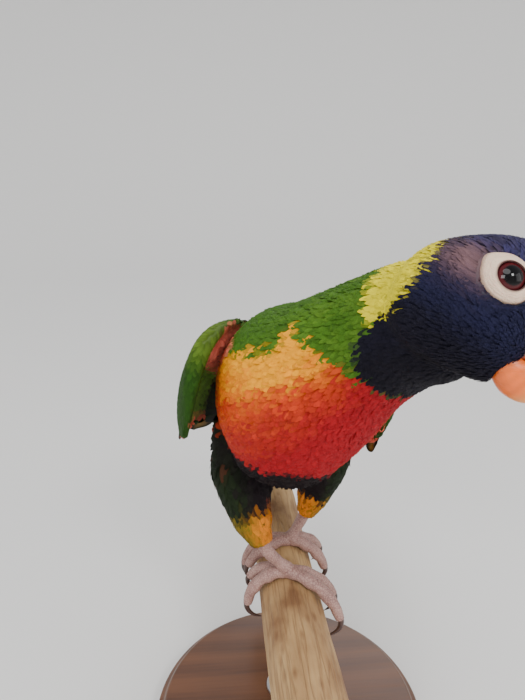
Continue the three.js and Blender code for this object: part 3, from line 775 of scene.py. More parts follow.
def skinMesh():
    bm = bmesh.new()
    for name in fleshNodes:
        bm.from_mesh(swollen(name))
    loft(bm, [bodyRing(i, circle(28)) for i in range(0, 130, 8)])
    mesh = remeshed(meshOf(bm), skinSizes["voxel"], skinSizes["smoothing"])
    points, normals = coordsOf(mesh), normalsOf(mesh)
    moveTo(mesh, clearEyes(points - normals * (skinSizes["swell"] + coatDepth(points))[:, None]))
    paint(mesh, plumageAt(coordsOf(mesh)))
    return mesh


skin = skinMesh()
pieceOf("skin", skin, fleshNodes, skinFinish())
bodySurface = surfaceOf(skin)
print("skin", len(skin.polygons), "faces")


def bodyLie(points):
    spots = Spots(points)
    local = spots.local
    fromBill = unit((local - np.array([13, -7, 0])) @ headWays)
    onHead = smooth(-15, -9, local[:, 0]) * smooth(10.5, 11.6, spots.station)
    way = spots.back * (1 - onHead)[:, None] + fromBill * onHead[:, None]
    away = local - np.array(eyes["middle"])
    away[:, 2] = 0
    push = 0.8 * (1 - smooth(1.0, 1.7, fromEye(points)))
    way = way + unit(away) @ headWays * push[:, None]
    for _, _, down, sure in spots.legs:
        way = way * (1 - sure)[:, None] + down * sure[:, None]
    return unit(way)


def byZone(belly, breast, neck, crown, face, shank):
    # a size that changes from the tail to the face and down the legs
    def size(points):
        spots = Spots(points)
        station, local = spots.station, spots.local
        size = belly + (breast - belly) * smooth(4.5, 6.5, station)
        size = size + (neck - size) * smooth(7.2, 9.6, station)
        size = size + (crown - size) * smooth(10.2, 12, station) * smooth(-19, -12, local[:, 0])
        size = size + (face - size) * (1 - smooth(8, 15, gap(local, (12, -6, 0))))
        for _, down, _, sure in spots.legs:
            size = size + (shank - size) * sure * smooth(0.2, 0.9, down)
        return size
    return size


def spacingOf(low, high):
    # gaps between feathers from one station to another, with the legs in the hindmost part;
    # none in the eyes' rings or in the bill
    def spacing(points):
        spots = Spots(points)
        local = spots.local
        onLegs = np.max([sure for _, _, _, sure in spots.legs], 0)
        station = np.where(onLegs > 0.5, 0.0, spots.station)
        inBill = ((local[:, 0] > 11) & (np.abs(local[:, 2]) < 4.2)
                  & (np.abs(local[:, 1] + 7) < 10))
        bare = (fromEye(points) < 1.0) | inBill | (station < low) | (station >= high)
        return np.where(bare, 0, bodySizes["spacing"](points))
    return spacing


def bodyUnwrap(points):
    # along the body and round it, with each leg beside it
    spots = Spots(points)
    station, local = spots.station, spots.local
    uv = np.stack([0.02 + 0.7 * (spots.angle + 180) / 360, 0.02 + 0.95 * station / 13], 1)
    far = station > 12.4
    turn = np.degrees(np.arctan2(local[:, 2], local[:, 1] + 6))
    uv[far] = np.stack([0.02 + 0.7 * (turn + 180) / 360, 0.6 + local[:, 0] / 80], 1)[far]
    for i, (leg, down, _, sure) in enumerate(spots.legs):
        aside = points - leg["line"][np.rint(down * 60).astype(int)]
        around = np.arctan2(aside[:, 1], aside[:, 0]) / 6.2832 + 0.5
        on = sure > 0.5
        uv[on] = np.stack([0.74 + 0.12 * i + 0.11 * around, 0.02 + 0.9 * down], 1)[on]
    return uv


def bodyLoft(points):
    # how high the tips stand: low round the eyes, loose under the belly
    spots = Spots(points)
    loose = skinSizes["loose"] * smooth(135, 160, np.abs(spots.angle))
    loose = loose * smooth(2.0, 3.4, spots.station)
    for _, _, _, sure in spots.legs:
        loose = loose * (1 - sure)
    return (coatDepth(points) * (0.6 + 0.4 * smooth(1.0, 1.2, fromEye(points)))
            + loose * smooth(6.3, 5.4, spots.station))


# Feathers of the belly, breast, neck and crown, at the bill's edge and on the lower leg
bodySizes = {
    "spacing": byZone(1.7, 1.22, 0.95, 0.56, 0.42, 1.0),
    "length": byZone(11.5, 8.6, 6.6, 4.2, 2.0, 4.8),
    "width": byZone(3.5, 2.4, 1.6, 0.82, 0.55, 1.5),
    "depth": bodyLoft, "lie": bodyLie, "colour": plumageAt, "unwrap": bodyUnwrap,
}
for title, low, high, seed in (("coatHind", -1, 3.6, 3), ("coatBelly", 3.6, 6, 4),
                               ("coatBreast", 6, 8.2, 5), ("coatNeck", 8.2, 11, 6),
                               ("coatNape", 11, 12.2, 7), ("coatHead", 12.2, 14, 8)):
    mesh = coat(title, bodySurface, seed, **{**bodySizes, "spacing": spacingOf(low, high)})
    pieceOf(title, mesh, (), smallFeathers)


# Wings: each lies on a curved sheet through its lower edge, its middle and its upper edge,
# from the bend to the tip. Where a line is beside the body it is set off from it: the
# station, the angle and the distance.
wings = {
    "right": {
        "hand": -1,
        "near": [[(6, 127, 15.5), (5, 124, 15), (3.9, 118, 12)],
                 [(6.3, 84, 9), (5.2, 84, 9), (4, 84, 7)],
                 [(6, 50, 2.2), (5, 42, 2.6), (3.9, 34, 3)]],
        "far": [[(-21, 62, 118), (-13.5, 86, 113.5), (-7, 109, 112.5)],
                [(-16, 62, 130), (-9.5, 86, 121.5), (-4.5, 110, 116.5)],
                [(-2.5, 60, 140), (-0.5, 84, 128.5), (0.6, 107, 119.5)]],
        "seed": 11,
    },
    "left": {
        "hand": 1,
        "near": [[(6, 112, 3.8), (5, 115, 6), (3.9, 114, 6.5)],
                 [(6.3, 80, 4), (5.2, 80, 4.2), (4, 80, 4.2)],
                 [(6, 42, 3), (5, 38, 3.5), (3.9, 34, 3.5)]],
        "far": [[(25, 62, 118), (20, 86, 113.5), (15, 109, 112.5)],
                [(21, 62, 130), (16, 86, 121.5), (12, 110, 116.5)],
                [(7.6, 60, 140), (7.4, 84, 128.5), (6.8, 107, 119.5)]],
        "seed": 24,
    },
}
wingRun = 110
# The arm: how far it reaches along the wing, its middle and half height across it, and how
# thick it is in its middle and at its rim
arm = {"long": 0.45, "middle": 0.52, "half": 0.46, "thick": 2.2, "rim": 0.5}
wingTiers = {
    "primaries": {
        "ends": [0.86, 0.93, 0.985, 1.015, 1.02, 1.0, 0.975, 0.945, 0.91, 0.87], "start": 0.42,
        "t": [(0.08, 0.1), (0.6, 0.86)], "lift": [(-0.3, -0.3), (0.4, 3.0)],
        "louvre": (10, 14), "width": 8.6, "point": 0.72},
    "secondaries": {
        "ends": [0.69 + 0.012 * i for i in range(10)], "start": 0.39,
        "t": [(0.32, 0.32), (0.92, 0.92)], "lift": [(0.5, 3.0), (0.5, 3.0)],
        "louvre": (11, 12), "width": 9.0, "point": 0.7},
    "greater": {
        "ends": [0.5] * 13, "start": 0.31,
        "t": [(0.07, 0.07), (0.93, 0.93)], "lift": [(0.9, 3.2), (0.9, 3.2)],
        "louvre": (11, 12), "width": 7.2, "point": 0.6},
    "median": {
        "ends": [0.37] * 12, "start": 0.2,
        "t": [(0.08, 0.08), (0.92, 0.92)], "lift": [(1.6, 3.7), (1.6, 3.7)],
        "louvre": (10, 10), "width": 7.4, "point": 0.55},
}
# Colours of the wings. Inside the wing, pale is painted light on a shaded green, under is the
# coverts' pink made lighter, part real colour and part painted light, and the dark brown (60, 26,
# 22) is painted shadow deep in
wingColours = palette(
    top=(42, 76, 20), light=(106, 134, 44), dark=(22, 40, 14), tip=(26, 28, 24),
    under=(255, 132, 108), lining=(60, 26, 22), pale=(126, 176, 76), underGrey=(44, 42, 36),
    underGold=(196, 150, 60),
)


def offBody(hand, station, angle, away):
    i, turn = int(round(station * 40)), math.radians(-hand * angle)
    tall = spineReach[i, 1 if math.cos(turn) > 0 else 2] + away
    return (spine[i] + spineSide[i] * math.sin(turn) * (spineReach[i, 0] + away)
            + spineUp[i] * math.cos(turn) * tall)


def sheetOf(wing):
    lines = [[offBody(wing["hand"], *p) for p in near] + far
             for near, far in zip(wing["near"], wing["far"])]

    def at(s, t):
        low, middle, high = (along(line, s) for line in lines)
        t = np.asarray(t, float)[..., None]
        return low * (1 - t) * (1 - 2 * t) + middle * 4 * t * (1 - t) + high * t * (2 * t - 1)

    def ways(s, t):
        run = unit(at(np.minimum(s + 0.01, 1), t) - at(np.maximum(s - 0.01, 0), t))
        cross = unit(at(s, t + 0.02) - at(s, t - 0.02))
        out = unit(np.cross(run, cross)) * wing["hand"]
        return run, np.cross(out, run) * wing["hand"], out

    return at, ways


def partWay(pair, f):
    low, high = np.array(pair, float)
    return low + (high - low) * f


def joinLong(vanes, colours, patch):
    stack = {key: np.stack([v[key] for v in vanes]) for key in ("centre", "side", "out", "half")}
    return joinVanes(longVane, stack, 0.06, 0.22, colours, patch)


def wingFeathers(at, ways, tier, rng):
    rows = longVane["rows"]
    vanes = []
    slope = np.tan(np.radians(np.interp(rows, (0, 1), tier["louvre"])))[:, None]
    for i, end in enumerate(tier["ends"]):
        f = i / (len(tier["ends"]) - 1)
        s = tier["start"] + (end + rng.uniform(-0.006, 0.006) - tier["start"]) * rows
        start, stop = partWay(tier["t"], f)
        low, high = partWay(tier["lift"], f)
        t = start + (stop - start) * rows
        run, cross, out = ways(np.clip(s, 0, 0.99), t)
        centre = (at(np.minimum(s, 1), t) + run * np.maximum(0, s - 1)[:, None] * wingRun
                  + out * (low + (high - low) * rows)[:, None])
        vanes.append({
            "centre": centre, "side": unit(cross - out * slope), "out": unit(out + cross * slope),
            "half": 0.5 * tier["width"] * widths(rows, tier["point"]), "s": s, "t": t,
        })
    return vanes


def wingVaneColours(vanes, isPrimary):
    c = wingColours

    def colours(shape):
        result = []
        across, down, row = shape["across"], shape["down"], shape["row"]
        edge = smooth(0.45, 1, np.abs(across)) + smooth(0.94, 1, down)
        low = smooth(0.2, -0.9, across)
        under = layered(c["underGrey"],
                        (c["underGold"], smooth(0.2, 0.5, down) * smooth(0.9, 0.6, down)))
        for i, vane in enumerate(vanes):
            s, t = vane["s"][row], vane["t"][row]
            tone = (1 + 0.1 * math.sin(i * 2.4)) * (1 - 0.3 * np.minimum(edge, 1))
            colour = layered(
                c["top"], (c["light"], 0.55 * smooth(0.45, 0.95, t) + 0.3 * smooth(0.2, 0, s)),
                (c["dark"], 0.55 * low),
                (c["tip"], isPrimary * (0.75 * smooth(0.6, 0.98, s) + 0.2 * low)))
            result.append(np.where(shape["under"][:, None], under, colour) * tone[:, None])
        return np.array(result) * (0.75 + 0.35 * smooth(0, 0.4, down))[None, :, None]

    return colours


def wingPad(at, ways):
    # the arm under its coverts, thick at the bend and thin behind
    shape = vaneTemplate(np.linspace(-1, 1, 15), np.linspace(0, 1, 24) ** 1.35)
    run, across = shape["down"], shape["across"]
    s = -0.02 + arm["long"] * run ** 1.1
    bend = np.sqrt(np.maximum(0.02, 1 - np.maximum(0, 1 - run / 0.3) ** 2))
    t = arm["middle"] + arm["half"] * across * bend
    way, _, out = ways(np.maximum(s, 0), t)
    plump = arm["rim"] + arm["thick"] * np.sqrt(np.maximum(0, 1 - across ** 2))
    plump = (plump + (arm["rim"] - plump) * smooth(0, 0.85, run)) * (1 - across ** 8)
    plump = plump * np.sqrt(1 - (1 - np.minimum(run / 0.07, 1)) ** 2)
    points = (at(np.maximum(s, 0), t) + way * (np.minimum(s, 0) * wingRun)[:, None]
              + out * (plump * np.where(shape["under"], -1, 1))[:, None])
    bm = bmesh.new()
    verts = [bm.verts.new(p) for p in points * mm]
    for face in shape["faces"]:
        bm.faces.new([verts[i] for i in face])
    return evaluated(meshOf(bm), ("SUBSURF", {"levels": 2, "render_levels": 2}))


def lesserZone(at, ways):
    gridS, gridT = (g.ravel() for g in np.meshgrid(np.linspace(0, 1, 80), np.linspace(0, 1, 30)))
    gridAt, (gridRun, gridUp, gridOut) = at(gridS, gridT), ways(gridS, gridT)
    tree = treeOf(gridAt, range(len(gridAt)))

    def onSheet(points):
        # the grid's place, how far along and across the wing it is, and the height over it
        i = nearestIn(tree, points)
        return i, gridS[i], gridT[i], dot(points - gridAt[i], gridOut[i])

    def colour(points):
        _, s, t, tall = onSheet(points)
        c = wingColours
        top = layered(
            c["top"], (c["light"], 0.8 * smooth(0.12, 0.0, s) * smooth(0.38, 0.62, t)
                       + 0.2 * smooth(0.6, 1, t)),
            (c["dark"], 0.3 * smooth(0.3, 0, t)))
        pink = smooth(0.5, 0.57, t) * smooth(0.97, 0.92, t) * smooth(0.02, 0.05, s)
        pink = np.maximum(pink, smooth(0.16, 0.1, t) * smooth(0.0, 0.03, s))
        # the wing's inside: painted light green in from the front rim, painted shadow in dark
        # brown deeper in, and the pink coverts made lighter, part real colour and part painted
        # light
        lining = layered(top, (c["pale"], smooth(0.08, 0.2, s)),
                         (c["lining"], smooth(0.38, 0.42, s)),
                         (c["under"], pink * smooth(0.46, 0.4, s)))
        return np.where((tall < -0.3)[:, None], lining, top)

    def unwrap(points):
        _, s, t, tall = onSheet(points)
        return np.stack([0.02 + 0.45 * s / 0.5 + 0.48 * (tall < 0), 0.02 + 0.9 * t], 1)

    def lie(points):
        # back along the wing, and down along its front rim
        i, s, _, _ = onSheet(points)
        return gridRun[i] - gridUp[i] * (1.5 * smooth(0.11, 0.01, s))[:, None]

    def graded(fine, broad):
        # smaller at the wing's front rim
        return lambda points: fine + (broad - fine) * smooth(0.01, 0.16, onSheet(points)[1])

    def depth(points):
        # a looser tuft inside the wing, where it leaves the breast
        _, s, t, tall = onSheet(points)
        inside = smooth(-0.2, -0.6, tall)
        tuft = inside * smooth(0.5, 0.6, t) * smooth(0.92, 0.82, t) * smooth(0.05, 0.12, s)
        return graded(0.45, 0.65)(points) + 3 * tuft * smooth(0.46, 0.38, s)

    return {
        "spacing": graded(0.8, 1.35), "length": graded(3.8, 6.6), "width": graded(1.7, 2.9),
        "depth": depth, "lie": lie, "colour": colour, "unwrap": unwrap,
        "point": 0.4, "blur": 0.02, "vary": 0.12, "sunk": -0.05,
    }


for title, wing in wings.items():
    at, ways = sheetOf(wing)
    rng = np.random.default_rng(wing["seed"])
    zone = lesserZone(at, ways)
    pad = wingPad(at, ways)
    padSurface = surfaceOf(pad)
    lesser = coat("coverts_" + title, padSurface, wing["seed"], **zone)
    paint(pad, zone["colour"](padSurface["points"]))
    pieceOf("pad_" + title, pad, ("wing_" + title,), skinFinish())
    pieceOf("coverts_" + title, lesser, (), smallFeathers)
    for tierName, tier in wingTiers.items():
        vanes = wingFeathers(at, ways, tier, rng)
        patch = np.array([[0.02 + 0.9 * v["s"][0], 0.02 + 0.9 * v["t"][0]] for v in vanes])
        mesh = joinLong(vanes, wingVaneColours(vanes, tierName == "primaries"), patch)
        pieceOf(tierName + "_" + title, mesh, (), longFeathers)
print("wings")

# Tail: six feathers a side, the middle pair longest and on top, with coverts over and under
tail = {
    "root": (3.1, 57, 127.2),
    "tip": (5.5, 146, 98.5),
    "lengths": [89, 84, 76, 68, 59, 50],
    "width": 9.4,
    **palette(top=(60, 96, 24), edge=(34, 62, 18), under=(176, 150, 48), underRed=(190, 84, 40)),
}


def tailFeather(sign, start, shift, drop, fan, length, width, roof, rise=0.0, point=0.52):
    root, tip = np.array(tail["root"], float), np.array(tail["tip"], float)
    run = unit(tip - root)
    across = unit(np.array([1, 0, 0]) - run * run[0])
    out = np.cross(across, run)
    aside = across * sign
    way = unit(run + aside * math.tan(math.radians(fan)) + out * rise)
    side = unit(aside - out * math.tan(math.radians(roof)))
    rows = longVane["rows"]
    centre = (root + run * start + aside * shift + out * drop
              + way * (length * rows)[:, None])
    return {
        "centre": centre, "side": np.repeat(side[None] * sign, len(rows), 0),
        "out": np.repeat(unit(np.cross(side, way) * sign)[None], len(rows), 0),
        "half": 0.5 * width * widths(rows, point), "place": (shift * sign, start),
    }


def tailVanes():
    rng = np.random.default_rng(5)
    vanes = []
    for i, length in enumerate(tail["lengths"]):
        for sign in (1, -1):
            shift = 0.8 if i == 0 else 0.7 + 0.9 * i
            drop = 0.05 + 0.45 * sign if i == 0 else -0.2 - 1.1 * i
            vanes.append(tailFeather(sign, 2, shift, drop, 0.3 + 0.8 * i,
                                     length + rng.uniform(-1, 1), tail["width"],
                                     0 if i == 0 else 5))
    for row in range(3):
        for place in (-2, -1, 0, 1, 2):
            aside, sign = abs(place), 1 if place >= 0 else -1
            length = 25 - 2.5 * aside - 2 * row + rng.uniform(-1, 1)
            start = 1 + 2.5 * row - 4 * (row > 1)
            for drop, roof, rise in ((2.0 + 0.45 * row - 0.5 * aside, 4 * aside, 0.02),
                                     (-7.6 - 0.4 * row + 0.5 * aside, 0, -0.02)):
                vanes.append(tailFeather(sign, start, 2.3 * aside, drop, 1.2 * aside, length,
                                         6.5, roof, rise, 0.5))
    return vanes


def tailColours(shape):
    edge = smooth(0.5, 1, np.abs(shape["across"]))
    upper = layered(tail["top"], (tail["edge"], 0.6 * edge))
    lower = layered(tail["under"], (tail["underRed"], 0.6 * smooth(0.4, 0.05, shape["down"])))
    tones = (1 + 0.1 * np.sin(np.arange(len(tailAll)) * 2.4))[:, None, None]
    return (np.where(shape["under"][:, None], lower, upper)[None] * tones
            * (0.8 + 0.25 * smooth(0, 0.4, shape["down"]))[None, :, None])


tailAll = tailVanes()
patch = np.array([[0.5 + v["place"][0] / 30, 0.1 + v["place"][1] / 40] for v in tailAll])
pieceOf("tailFeathers", joinLong(tailAll, tailColours, patch), ("tail",),
        longFeathers)
print("tail")


# Bill: each half between an upper and a lower line in the head's middle plane
bill = {
    "upper": ([(6, 4.2), (11.5, 3.2), (16.5, 0.2), (20, -5), (21.5, -10.8), (20.6, -17)],
              [(6, -9.5), (10.5, -9.3), (14.3, -8.9), (16.6, -9.8), (18.6, -12.8),
               (20.3, -17.1)],
              [5.5, 5.1, 4.3, 3.2, 1.8, 0.2]),
    "lower": ([(7.4, -9.2), (11.5, -9.2), (14.5, -8.9), (19.1, -12.2)],
              [(9.2, -15.5), (12.5, -16.8), (16.2, -16.4), (19.3, -14.4)],
              [4.7, 4.4, 3.3, 0.8]),
    "tipAt": (20.6, -17, 0),
    "nostril": (9.9, 0.9, 4.6),
    "nostrilSize": 0.75,
    # the near-black (20, 8, 8) is painted shade in the nostrils' dents
    **palette(horn=(226, 104, 34), tip=(242, 184, 100), base=(208, 84, 30), cere=(104, 78, 76),
              hole=(20, 8, 8)),
}


def billMesh(half, sides, steps, keel):
    upper, lower, halves = bill[half]
    t = np.linspace(0, 1, steps + 1)
    top, bottom = (along([(x, y, 0) for x, y in line], t) for line in (upper, lower))
    reach = np.maximum(along([(h, 0, 0) for h in halves], t)[:, 0], 0.15)
    tall, wide = np.cos(circle(sides)), np.sin(circle(sides))
    thin = 1 - keel * smooth(0.55, 1, tall)
    # the side that meets the other half is squarer
    square = np.where(tall < 0, 0.55, 1.0) if keel else np.where(tall > 0, 0.55, 1.0)
    tall, wide = np.sign(tall) * np.abs(tall) ** square, np.sign(wide) * np.abs(wide) ** square
    rings = []
    for a, b, h in zip(top, bottom, reach):
        ring = (a + b) / 2 + np.outer(tall, (a - b) / 2)
        ring[:, 2] += wide * h * thin
        rings.append(fromHead(ring))
    bm = bmesh.new()
    loft(bm, rings)
    return meshOf(bm)


def billPiece(half, sides, steps, keel):
    mesh = billMesh(half, sides, steps, keel)
    points, normals = coordsOf(mesh), normalsOf(mesh)
    local, b = inHead(points), bill
    away = gap(local, b["tipAt"])
    patch = fleck(points, 3.5, 4)
    colour = layered(b["base"], (b["horn"], smooth(22, 13, away + 2 * patch)),
                     (b["tip"], 0.6 * smooth(8, 1, away + 1.5 * patch)))
    growth = np.sin(away * 3.1 + 5 * fleck(points, 7, 9)) * smooth(3, 8, away)
    colour = colour * (1 + 0.06 * growth)[:, None]
    points = points + normals * (0.012 * growth)[:, None]
    if half == "upper":
        ones = np.ones(len(local))
        near = local - np.array(b["nostril"]) * np.stack([ones, ones, np.sign(local[:, 2])], 1)
        gone = np.linalg.norm(near * np.array([1, 1.25, 0.5]), axis=1) / b["nostrilSize"]
        points = points - normals * (1.0 * (1 - smooth(0.3, 1.15, gone)))[:, None]
        rim = np.exp(-((gone - 1.7) / 0.5) ** 2) * 0.22
        points = points + normals * rim[:, None]
        cere = 1 - smooth(10.2, 11.4, local[:, 0] + 0.12 * (local[:, 1] + 3))
        points = points + normals * (0.5 * cere)[:, None]
        # the cere's own colour, and near-black painted shade in the nostril's dent
        colour = layered(colour, (b["cere"], cere), (b["hole"], 1 - smooth(0.5, 1.05, gone)))
    moveTo(mesh, points)
    paint(mesh, colour)
    pieceOf("bill" + half.title(), mesh, ("bill_" + half,), hornFinish)


def makeHorn():
    finish = Finish("billHorn")
    broad = finish.noise(170, 4)
    lines = finish.noise(420, 3, stretch=(1, 1, 3.5))
    return finish.surface(Base_Color=finish.plume(0.82 + broad * 0.26 + lines * 0.1),
                          Roughness=0.2 + lines * 0.28, Subsurface_Weight=0.05,
                          Subsurface_Scale=0.0015, bump=(lines + broad * 0.5, 0.5, 0.00025))


hornFinish = makeHorn()
billPiece("upper", 72, 90, 0.2)
billPiece("lower", 48, 50, 0)


# Eyeballs and the bare rings round them
def makeEyeball():
    finish, e = Finish("eyeball"), eyes
    uv = finish.node("ShaderNodeUVMap", {"uv_map": "gaze"})
    away, turn = finish.part("X", uv), finish.part("Y", uv)
    stretched = finish.node("ShaderNodeCombineXYZ", None, {0: turn * 26, 1: away * 2.5})
    streaks = finish.noise(2.2, 4, vector=stretched)
    colour = finish.ramp(
        away + (streaks - 0.5) * 0.06, (0.0, e["pupil"]), (0.54, e["pupil"]), (0.58, e["dark"]),
        (0.65, e["iris"] * 0.7), (0.78, e["iris"]), (0.9, e["irisRim"]), (1.0, e["outer"]))
    return finish.surface(Base_Color=colour, Roughness=0.4, Specular_IOR_Level=0.0,
                          Coat_Weight=1.0, Coat_Roughness=0.015, Coat_IOR=1.34)


def makeRing():
    finish = Finish("eyeRing")
    cells, soft = finish.cells(2600), finish.noise(1500, 3)
    return finish.surface(Base_Color=finish.plume(0.84 + soft * 0.24), Roughness=0.5,
                          Subsurface_Weight=0.1, Subsurface_Scale=0.001,
                          bump=(cells * 3 + soft, 0.5, 0.0001))


def ballMesh(sign):
    middle, axis, front, up = eyeWays(sign)
    bm = bmesh.new()
    bmesh.ops.create_uvsphere(bm, u_segments=64, v_segments=48, radius=1)
    layer = bm.loops.layers.uv.new("gaze")
    edge = math.degrees(math.asin(eyes["opening"] / eyes["radius"])) * 1.12
    for face in bm.faces:
        around = [math.atan2(v.co.y, v.co.x) / 6.2832 for v in face.verts]
        wide = max(around) - min(around) > 0.5
        for loop, a in zip(face.loops, around):
            gone = math.degrees(math.acos(max(-1, min(1, loop.vert.co.z))))
            loop[layer].uv = (gone / edge, a + 1 if wide and a < 0 else a)
    for vert in bm.verts:
        x, y, z = vert.co
        bulge = 1 + 0.05 * max(0.0, z - 0.75) / 0.25
        local = middle + eyes["radius"] * (front * x + up * y + axis * z * bulge)
        vert.co = Vector(fromHead(local)) * mm
    return meshOf(bm)


def lidMesh(sign):
    middle, axis, front, up = eyeWays(sign)
    turns, e = circle(96), eyes
    around = np.cos(turns)[:, None] * front + np.sin(turns)[:, None] * up
    outer = ringReach((turns + np.pi) % (2 * np.pi) - np.pi)
    steps = np.concatenate([[0, 0.02, 0.05, 0.09, 0.14], np.linspace(0.2, 1, 15), [1.12]])
    k = steps[:, None]
    radius = e["opening"] * (1 + 0.04 * np.cos(2 * turns)) * (1 - k) + outer * k
    fall = e["rimTall"] + 0.15 - e["lidTall"]
    height = e["lidTall"] + fall * np.minimum(k, 1) ** e["curve"]
    height = height + e["bead"] * np.exp(-((k - 0.1) / 0.08) ** 2)
    fold = np.sin(k * 27 + 1.6 * np.sin(turns * 3) + 0.9 * np.sin(turns * 7 + k * 5))
    height = height + e["folds"] * fold * smooth(0.15, 0.35, k) * (1 - smooth(0.85, 1, k))
    height[-1] -= 0.7
    under = height - np.where(steps > 0.01, 0.4, 0.12)[:, None]
    rings, tones = [], []
    for layer, heights in ((-1, under), (1, height)):
        for i in range(len(steps))[::layer]:
            local = middle + around * radius[i][:, None] + axis * heights[i][:, None]
            rings.append(fromHead(local))
            tones += [steps[i]] * len(turns)
    bm = bmesh.new()
    loft(bm, rings, False)
    bmesh.ops.bridge_loops(bm, edges=[edge for edge in bm.edges if edge.is_boundary])
    mesh = meshOf(bm)
    tone = np.array(tones)
    crease = 0.5 + 0.5 * fleck(coordsOf(mesh), 1.1, 8)
    paint(mesh, layered(e["rim"], (e["ring"], smooth(0.08, 0.2, tone)),
                        (e["fold"], 0.3 * crease * smooth(0.2, 0.4, tone)),
                        (e["fold"], 0.5 * smooth(0.9, 1.1, tone))))
    return mesh


ringSkin, ballFinish = makeRing(), makeEyeball()
for title, sign in eyeSides.items():
    pieceOf("eyeball_" + title, ballMesh(sign), ("eye_" + title,), ballFinish)
    pieceOf("lids_" + title, lidMesh(sign), (), ringSkin)
print("bill and eyes")

# Feet: toes that hold the branch, with scutes over them and pads under them, grown into one
foot = {
    "perchAxis": 64,
    "perchRadius": 12.5,
    "toe": 2.5,
    "toeRadii": [2.6, 2.5, 2.7, 2.35, 2.55, 2.2, 1.8],
    "clawRadii": [1.35, 1.25, 0.95, 0.6, 0.12],
    "shankRadii": [3, 2.2, 2.5, 2.5],
    "toeScutes": (1.35, 0.07),
    "shankScutes": (1.5, 0.06),
    "pads": 0.07,
    "voxel": 0.27,
    **palette(skin=(150, 112, 104), skinLight=(178, 144, 132), crease=(92, 66, 62),
              claw=(44, 28, 26), clawLight=(84, 58, 50)),
}


def eased(values, count):
    run = np.linspace(0, len(values) - 1, count)
    i = np.minimum(run.astype(int), len(values) - 2)
    values = np.array(values)
    return values[i] + (values[i + 1] - values[i]) * smooth(0, 1, run - i)


def toePath(leg, toe, start, stop, count, lift):
    k = np.linspace(0, 1, count)
    t = start + (stop - start) * k
    turn = np.radians(leg["joint"][0] + (toe[0] - leg["joint"][0]) * t)
    y = leg["joint"][1] + (toe[1] - leg["joint"][1]) * np.sin(np.minimum(t, 1.25) * 0.45 * np.pi)
    reach = foot["perchRadius"] + foot["toe"] + lift(k)
    return np.stack([np.sin(turn) * reach, y, foot["perchAxis"] + np.cos(turn) * reach], 1)


def scuted(points, every, deep, topOf):
    # ridges across the upper side, each with a sharper far edge, and soft pads beneath
    steps = np.concatenate([[0], np.cumsum(np.linalg.norm(np.diff(points, axis=0), axis=1))])

    def shape(out, k):
        top = dot(out, topOf(points[k])[None])
        phase = (steps[k] / every) % 1
        ridge = deep * (smooth(0, 0.25, phase) * (1 - smooth(0.75, 1, phase)) - 0.6)
        pad = foot["pads"] * math.sin(steps[k] / steps[-1] * 3.5 * 2 * math.pi)
        return 1 + ridge * smooth(-0.1, 0.5, top) + pad * smooth(0.1, 0.9, -top)

    return shape


def fromPerch(point):
    return unit(np.array([point[0], 0, point[2] - foot["perchAxis"]]))


def footMesh(leg):
    bm = bmesh.new()
    for toe in leg["toes"].values():
        path = toePath(leg, toe, 0, 1.0, 110, lambda k: 0.5 * np.sin(k * np.pi) + 2.8 * k * k)
        shape = scuted(path, *foot["toeScutes"], fromPerch)
        loft(bm, tubeRings(path, eased(foot["toeRadii"], len(path)), 28, shape))
    turn, y = math.radians(leg["joint"][0]), leg["joint"][1]
    reach = foot["perchRadius"] + foot["toe"] + 0.6
    joint = np.array([math.sin(turn) * reach, y, foot["perchAxis"] + math.cos(turn) * reach])
    ankle = np.array(leg["ankle"])
    upper = 0.8 * np.array(leg["axis"][3]) + 0.2 * np.array(leg["axis"][2])
    path = along([joint, (joint + ankle) / 2, ankle, upper], np.linspace(0, 1, 90))
    shape = scuted(path, *foot["shankScutes"], lambda p: np.array([0, -1.0, 0]))
    loft(bm, tubeRings(path, eased(foot["shankRadii"], len(path)), 32, shape))
    return remeshed(meshOf(bm), foot["voxel"], 3)


def clawMesh(leg):
    bm = bmesh.new()
    for toe in leg["toes"].values():
        path = toePath(leg, toe, 0.9, 1.36, 26,
                       lambda k: 2.4 + 1.5 * np.sin(k * np.pi) - 4.2 * k * k)
        loft(bm, tubeRings(path, eased(foot["clawRadii"], len(path)), 16))
    return meshOf(bm)


def makeFootSkin():
    finish = Finish("footSkin")
    raised = (finish.cells(1100) * 6).math("MINIMUM", 1.0)
    soft = finish.noise(260, 4)
    colour = finish.ramp(raised * 0.45 + soft * 0.7, (0.1, foot["crease"]), (0.5, foot["skin"]),
                         (0.95, foot["skinLight"]))
    return finish.surface(Base_Color=colour, Roughness=0.45 + soft * 0.25,
                          bump=(raised, 0.55, 0.00012))


def makeClaw():
    finish = Finish("clawHorn")
    lines = finish.noise(800, 3)
    return finish.surface(Base_Color=finish.mix(lines, foot["claw"], foot["clawLight"]),
                          Roughness=0.22 + lines * 0.25, bump=(lines, 0.2, 0.0001))


footSkin, clawHorn = makeFootSkin(), makeClaw()
for title, leg in legs.items():
    pieceOf("foot_skin_" + title, footMesh(leg), ("foot_" + title,), footSkin)
    pieceOf("claws_" + title, clawMesh(leg),
            ["claw_%s_%s" % (title, toe) for toe in leg["toes"]], clawHorn)
print("feet")

# Branch, with its cut ends
branch = {
    "near": -78, "far": 98, "even": 30, "middle": 6, "knots": 0.012, "waves": 0.008, "worn": 0.8,
    **palette(tan=(188, 146, 92), brown=(112, 72, 42), pale=(216, 182, 130), cut=(226, 196, 146)),
}


